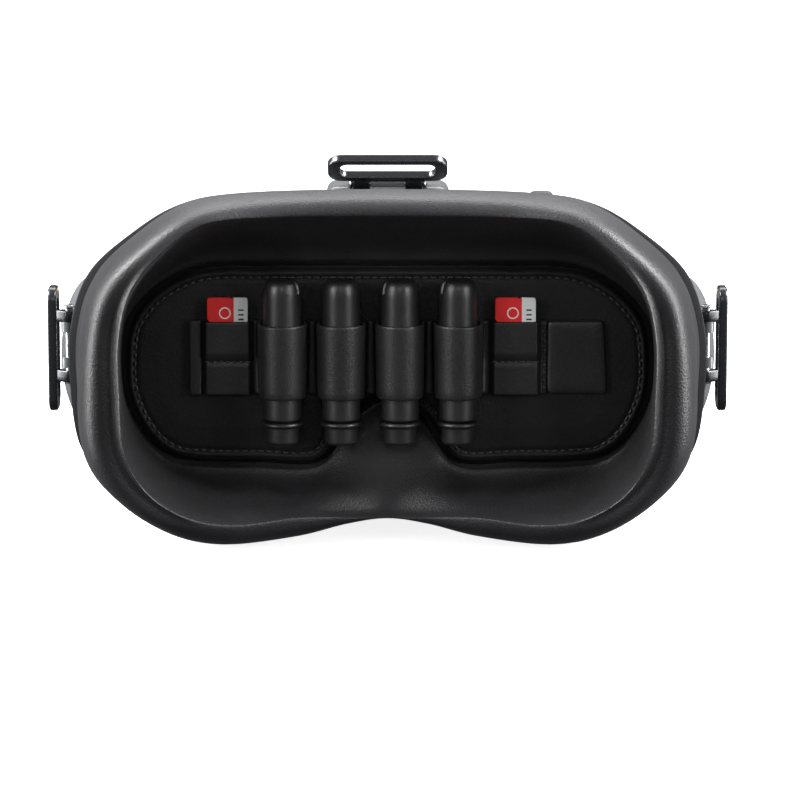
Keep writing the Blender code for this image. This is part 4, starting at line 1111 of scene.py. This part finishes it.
edge = np.radians(np.linspace(0, 180, 9))
down = np.linspace(STRIP_TOP - EDGE_ROUND, STRIP_BOTTOM + EDGE_ROUND, DOWN_STEPS)
bulge = EDGE_ROUND * np.sin(edge)[1:-1]
section_z = np.concatenate((down, down[-1] - bulge, down[::-1], down[0] + bulge))
section_out = np.concatenate((np.ones(DOWN_STEPS), np.cos(edge)[1:-1], -np.ones(DOWN_STEPS),
                              -np.cos(edge)[1:-1]))
grid_z = np.broadcast_to(section_z[None, :], (len(plan), len(section_z)))
grid_x = np.broadcast_to(plan[:, 0:1], grid_z.shape)
rise = np.zeros(grid_z.shape)
for x in CARD_X.values():
    across = 1 - smooth_step(np.abs(grid_x - x), 5.7, POCKET_HALF)
    full = 0.72 + 0.28 * smooth_step(grid_z, POCKET_SEAM_Z, POCKET_SEAM_Z + 2.6)
    rise = np.maximum(rise, POCKET_RISE * across * full)
    rise -= 0.45 * across * np.exp(-((grid_z - POCKET_SEAM_Z) / 0.6) ** 2)
in_sleeve = (plan[:, 1] < STRIP_Y - 0.2)[:, None]
nearest = ANTENNA_X[np.abs(grid_x[..., None] - ANTENNA_X).argmin(-1)]
narrow = 1 - 0.035 * (1 - smooth_step(grid_z, STRIP_BOTTOM, STRIP_TOP))
narrow = narrow - 0.03 * np.exp(-((grid_z - STRIP_BOTTOM) / 1.2) ** 2)
sleeve_x = nearest + (grid_x - nearest) * np.where(in_sleeve, narrow, 1.0)
middle_y = plan[:, 1:2] - rise
squeeze = np.where(middle_y < ANTENNA_Y, narrow, 1.0)
sleeve_y = np.where(in_sleeve, ANTENNA_Y + (middle_y - ANTENNA_Y) * squeeze, middle_y)
thick = STRIP_THICKNESS / 2 * section_out[None, :]
strip_points = np.stack((sleeve_x + normal[:, 0:1] * thick, sleeve_y + normal[:, 1:2] * thick, grid_z), -1)
strip = skin("leather_strip", strip_points, "pad", STRIP_LEATHER, caps=True, sharp=70)
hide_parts("holder_strip")


def leather_patch(name, x_range, z_range, y, thickness, slant, lift):
    """A flat cut piece: a superellipse outline in X and Z, its right side slanted, its edges rounded.

    Rows run from the back's edge over the side to the front's middle; the front bows by lift.
    """
    x_middle, x_half = sum(x_range) / 2, (x_range[1] - x_range[0]) / 2
    z_middle, z_half = sum(z_range) / 2, (z_range[1] - z_range[0]) / 2
    unit = np.column_stack(superellipse(np.linspace(0, 2 * np.pi, 160, endpoint=False), 0.14))
    rows = []
    for inset, depth in ((0.98, 0.0), (0.2, 0.0), (0.02, 0.25), (0.0, 0.5), (0.02, 0.8), (0.06, 0.95),
                         (0.16, 1.0), (0.4, 1.0), (0.7, 1.0), (0.98, 1.0)):
        flat = unit * (np.array((x_half, z_half)) - min(x_half, z_half) * inset)
        flat[:, 0] += slant * smooth_step(flat[:, 0], -x_half, x_half) * -flat[:, 1] / z_half
        crown = lift * (1 - (flat[:, 0] / x_half) ** 2) * (depth == 1.0)
        rows.append(np.column_stack((flat[:, 0] + x_middle, y - thickness * depth - crown,
                                     flat[:, 1] + z_middle)))
    return skin(name, np.array(rows), "pad", STRIP_LEATHER, caps=True, sharp=60)


leather_patch("strip_tab", (TAB_LEFT, TAB_RIGHT), (STRIP_BOTTOM, STRIP_TOP), STRIP_Y + 0.6, 1.35, 0.5, 0.15)
leather_patch("strip_fold", (STRIP_LEFT - 0.1, STRIP_LEFT + FOLD_WIDTH),
              (STRIP_BOTTOM - 0.1, STRIP_TOP + 0.1), STRIP_Y - 0.3, 0.9, 0.0, 0.1)

stitch_y = STRIP_Y - STRIP_THICKNESS / 2
column = np.linspace(STRIP_BOTTOM + 0.8, STRIP_TOP - 0.8, 12)
for name, x in (("fold_stitching", STRIP_LEFT + FOLD_WIDTH + 0.5), ("tab_stitching", STRIP_RIGHT - 0.5)):
    line = np.column_stack((np.full(12, x), np.full(12, stitch_y), column))
    stitches(name, line, False, 1.5, 2.0)
for name, x in CARD_X.items():
    row = np.linspace(x - POCKET_HALF + 0.6, x + POCKET_HALF - 0.6, 12)
    line = np.column_stack((row, np.full(12, stitch_y - 1.56), np.full(12, POCKET_SEAM_Z)))
    stitches(name + "_pocket_stitching", line, False, 1.4, 1.9)


# ---------------------------------------------------------------- antennas
# Short rod antennas in satin black shells, rounded at the top with finger grooves in the shoulders.
# A ringed nut turns freely at the foot and screws on to a socket in the goggles' side.

RADOME_BLACK = moulded("antenna black", (0.012, 0.012, 0.013), 0.38, 1700.0, 0.00005, 0.8)
ANTENNA_RADIUS = 5.2
ANTENNA_TOP = 73.3
ANTENNA_FOOT = 34.3
GROOVE_DEPTH = 0.6
GROOVE_WIDTH = 0.42
GROOVE_LENGTH = 4.6
DOME_FLAT = 2.6
DOME_HEIGHT = 6.0
# Angles of the grooves in each shoulder, in degrees from +X; the wearer's side is at -90.
GROOVES = ((-40, -27, 152), (-154, -141, -36), (-150, -137, 28), (-158, 16, 24))


def radome_rows(foot, top):
    """Profile from the foot up: straight sides, a parting line, and a quarter superellipse to a flat top."""
    side = [(0.3, foot), (4.7, foot), (ANTENNA_RADIUS, foot + 0.5)]
    side += [(ANTENNA_RADIUS, z) for z in np.linspace(foot + 2, top - DOME_HEIGHT - 0.5, 24)]
    turn = np.linspace(0, math.pi / 2, 30)
    dome = [(DOME_FLAT + (ANTENNA_RADIUS - DOME_FLAT) * math.cos(a) ** 0.75,
             top - DOME_HEIGHT * (1 - math.sin(a) ** 0.62)) for a in turn[:-1]]
    return side + dome + [(DOME_FLAT, top), (0.3, top + 0.05)]


def shoulder_grooves(angles):
    """A ripple that sinks narrow upright grooves into the shoulder: Gaussian across, eased along."""
    def ripple(angle, height, radius):
        window = smooth_step(height, ANTENNA_TOP - GROOVE_LENGTH, ANTENNA_TOP - GROOVE_LENGTH + 1.2)
        depth = np.zeros(np.broadcast(angle, height).shape)
        for middle in np.radians(angles):
            away = np.angle(np.exp(1j * (angle - middle))) * ANTENNA_RADIUS
            depth = np.maximum(depth, np.exp(-(away / GROOVE_WIDTH) ** 2))
        return radius - GROOVE_DEPTH * depth * window * (radius > 1.5)
    return ripple


def nut_profile(low, high):
    """Profile of the nut from the bottom up: rounded end, plain barrel, ring with rounded edges."""
    return ((0.3, low), (3.9, low), (4.6, low + 0.7), (4.6, high - 1.5), (5.15, high - 1.25),
            (5.7, high - 1.0), (5.7, high - 0.35), (5.2, high), (0.3, high))


for number, x in enumerate(ANTENNA_X, 1):
    node = "antenna_%d" % number
    radome = turned(node + "_radome", radome_rows(ANTENNA_FOOT, ANTENNA_TOP), (x, ANTENNA_Y, 0), UP,
                    "aerial_%d" % number, RADOME_BLACK, sides=144, fillet=0.15,
                    ripple=shoulder_grooves(GROOVES[number - 1]), sharp=50)
    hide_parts(node)
    low, high, middle = box_mm(node + "_nut")
    nut = turned(node + "_ringed_nut", nut_profile(low.z, high.z), (x, ANTENNA_Y, 0), UP,
                 "nut_%d" % number, RADOME_BLACK, sides=96, fillet=0.3, sharp=50)
    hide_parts(node + "_nut")


# ---------------------------------------------------------------- memory cards
# Two thin moulded plastic memory cards, pushed into the strip's pockets. They are red with a white side;
# a ring and plain bars are printed on them.

CARD_Y = -32.6
CARD_THICKNESS = 0.9
CARD_RED = (0.90, 0.035, 0.035)
CARD_WHITE = (0.93, 0.93, 0.92)
CARD_INK = (0.03, 0.03, 0.03)
CARD_SPLIT = 1.75
CARD_EDGE = 0.12
RING_MIDDLE = (-0.7, -4.3)
RING_RADIUS = 1.45
RING_HALF = 0.17
BAR_PITCH = 1.3
BAR_HALF = 0.22
BARS_X = 3.7
BARS_HALF = 0.75
BARS_TOP = -2.4


def card_print(name, x, top):
    """Printed card face worked out from the place on the card: split of colours, one ring, a row of bars."""
    made, tree, shader, place = new_material(name, CARD_RED, 0.32)
    on_card = add_node(tree, "Mapping", {"Vector": place},
                       {"Location": (-x, 0, -top), "Scale": (1 / MM,) * 3})
    axes = add_node(tree, "SeparateXYZ", {"Vector": on_card["Vector"]}, {})
    across, down = axes["X"], axes["Z"]

    def calc(operation, first, second=0):
        node = tree.nodes.new("ShaderNodeMath")
        node.operation = operation
        for socket, value in zip(node.inputs, (first, second)):
            if isinstance(value, (int, float)):
                socket.default_value = value
            else:
                tree.links.new(value, socket)
        return node.outputs["Value"]

    def near(value, middle, half):
        return calc("LESS_THAN", calc("ABSOLUTE", calc("SUBTRACT", value, middle)), half)

    off_x, off_z = calc("SUBTRACT", across, RING_MIDDLE[0]), calc("SUBTRACT", down, RING_MIDDLE[1])
    away = calc("SQRT", calc("ADD", calc("MULTIPLY", off_x, off_x), calc("MULTIPLY", off_z, off_z)))
    ring = calc("MULTIPLY", near(away, RING_RADIUS, RING_HALF), calc("LESS_THAN", across, CARD_SPLIT))
    bars = near(calc("MODULO", calc("ADD", down, 60), BAR_PITCH), BAR_PITCH / 2, BAR_HALF)
    bars = calc("MULTIPLY", bars, near(across, BARS_X, BARS_HALF))
    ink = calc("MULTIPLY", bars, calc("LESS_THAN", down, BARS_TOP))
    face = tint(tree, calc("GREATER_THAN", across, CARD_SPLIT), CARD_RED, CARD_WHITE)
    vary(tree, shader, tint(tree, ink, tint(tree, ring, face, CARD_WHITE), CARD_INK),
         spread(tree, noise(tree, place, 700.0), 0.27, 0.38))
    dent(tree, shader, noise(tree, place, 2500.0), 0.00001, 0.4)
    return made


def card_outline(width, height):
    """The card's outline about the middle of its top: rounded corners, a step in one side, a top notch."""
    half = width / 2
    return np.array((
        (-half + 0.7, 0.0), (0.6, 0.0), (0.75, -0.28), (1.35, -0.28), (1.5, 0.0), (half - 0.7, 0.0),
        (half - 0.2, -0.2), (half, -0.7), (half, -height + 0.7), (half - 0.2, -height + 0.2),
        (half - 0.7, -height), (-half + 0.7, -height), (-half + 0.2, -height + 0.2),
        (-half, -height + 0.7), (-half, -9.8), (-half + 0.7, -9.0), (-half + 0.7, -6.8),
        (-half, -6.0), (-half, -0.7), (-half + 0.2, -0.2)))


for (node, x), body in zip(CARD_X.items(), ("left_card", "right_card")):
    low, high, middle = box_mm(node)
    shape = card_outline(high.x - low.x, high.z - low.z)
    half = CARD_THICKNESS / 2
    rows = [at_depth(offset(shape, -inset) + (x, high.z), CARD_Y + depth)
            for inset, depth in ((CARD_EDGE, -half), (0.0, -half + CARD_EDGE), (0.0, half - CARD_EDGE),
                                 (CARD_EDGE, half))]
    card = skin(node + "_printed", np.array(rows), body, card_print(node + " print", x, high.z),
                caps=True, sharp=30)
    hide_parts(node)


# ---------------------------------------------------------------- studio
# A pale paper sweep under and behind the goggles, with large soft lights above and on both sides and a
# weak one in front. The paper lights only itself, so that the black leather stays black.

LOOK_AT = (3.43, -38.0, 40.0)
LIT_MIDDLE = (0, -30, 50)
CAMERA_DISTANCE = 1110.0
CAMERA_ELEVATION = math.radians(10)
CAMERA_LENS = 182.3
SWEEP_HALF = 1500.0
SWEEP_BACK = 900.0
SWEEP_BEND = 400.0
SWEEP_REACH = 2500.0


def sweep():
    """Floor that bends up into a wall behind: a straight run, a quarter circle and a straight rise."""
    turn = np.linspace(-math.pi / 2, 0, 24)
    line = np.vstack(([(-SWEEP_REACH, 0.0), (0.0, 0.0)],
                      np.column_stack((SWEEP_BACK + SWEEP_BEND * np.cos(turn),
                                       SWEEP_BEND + SWEEP_BEND * np.sin(turn))),
                      [(SWEEP_BACK + SWEEP_BEND, SWEEP_REACH)]))
    points = np.stack([np.column_stack((np.full(len(line), x), line)) for x in (-SWEEP_HALF, SWEEP_HALF)], 1)
    faces = [(2 * i, 2 * i + 1, 2 * i + 3, 2 * i + 2) for i in range(len(line) - 1)]
    made, tree, shader, place = new_material("pale paper", (0.86, 0.86, 0.86), 0.9, specular=0.1)
    tree.links.new(tint(tree, noise(tree, place, 3.0), (0.85, 0.85, 0.85), (0.87, 0.87, 0.87)),
                   shader.inputs["Base Color"])
    fix(shader, {"Emission Color": (1.0, 1.0, 1.0, 1.0), "Emission Strength": 0.85})
    piece = build("sweep", points, faces, made)
    piece.visible_diffuse = False
    piece.visible_glossy = False


def soft_light(name, place, size, power, target=LIT_MIDDLE):
    """A rectangular soft light, in millimetres, aimed at a point."""
    lamp = bpy.data.lights.new(name, "AREA")
    lamp.shape = "RECTANGLE"
    lamp.size, lamp.size_y = (side * MM for side in size)
    lamp.energy = power
    light = bpy.data.objects.new(name, lamp)
    light.location = Vector(place) * MM
    light.rotation_euler = (Vector(target) - Vector(place)).to_track_quat("-Z", "Y").to_euler()
    scene.collection.objects.link(light)


sweep()
soft_light("back_light", (0, 500, 800), (900, 400), 7.0)
soft_light("front_light", (0, -1200, 500), (300, 300), 1.0)
for name, side in (("left", -1), ("right", 1)):
    soft_light(name + "_light", (side * 900, 0, 160), (300, 700), 13.0)
    soft_light(name + "_high_light", (side * 600, -90, 660), (420, 300), 16.0, (0, -45, 30))
    soft_light(name + "_front_light", (side * 820, -720, 300), (300, 500), 4.2)
world = bpy.data.worlds.new("studio")
world.use_nodes = True
fix(world.node_tree.nodes["Background"], {"Color": (0.9, 0.92, 1.0, 1.0), "Strength": 0.10})
scene.world = world
scene.view_settings.view_transform = "Standard"

camera = bpy.data.objects.new("camera", bpy.data.cameras.new("camera"))
camera.data.lens = CAMERA_LENS
camera.data.clip_start = 0.05
camera.data.clip_end = 20.0
target = Vector(LOOK_AT) * MM
back = Vector((0.0, -math.cos(CAMERA_ELEVATION), math.sin(CAMERA_ELEVATION)))
camera.location = target + back * CAMERA_DISTANCE * MM
camera.rotation_euler = (-back).to_track_quat("-Z", "Y").to_euler()
scene.collection.objects.link(camera)
scene.camera = camera
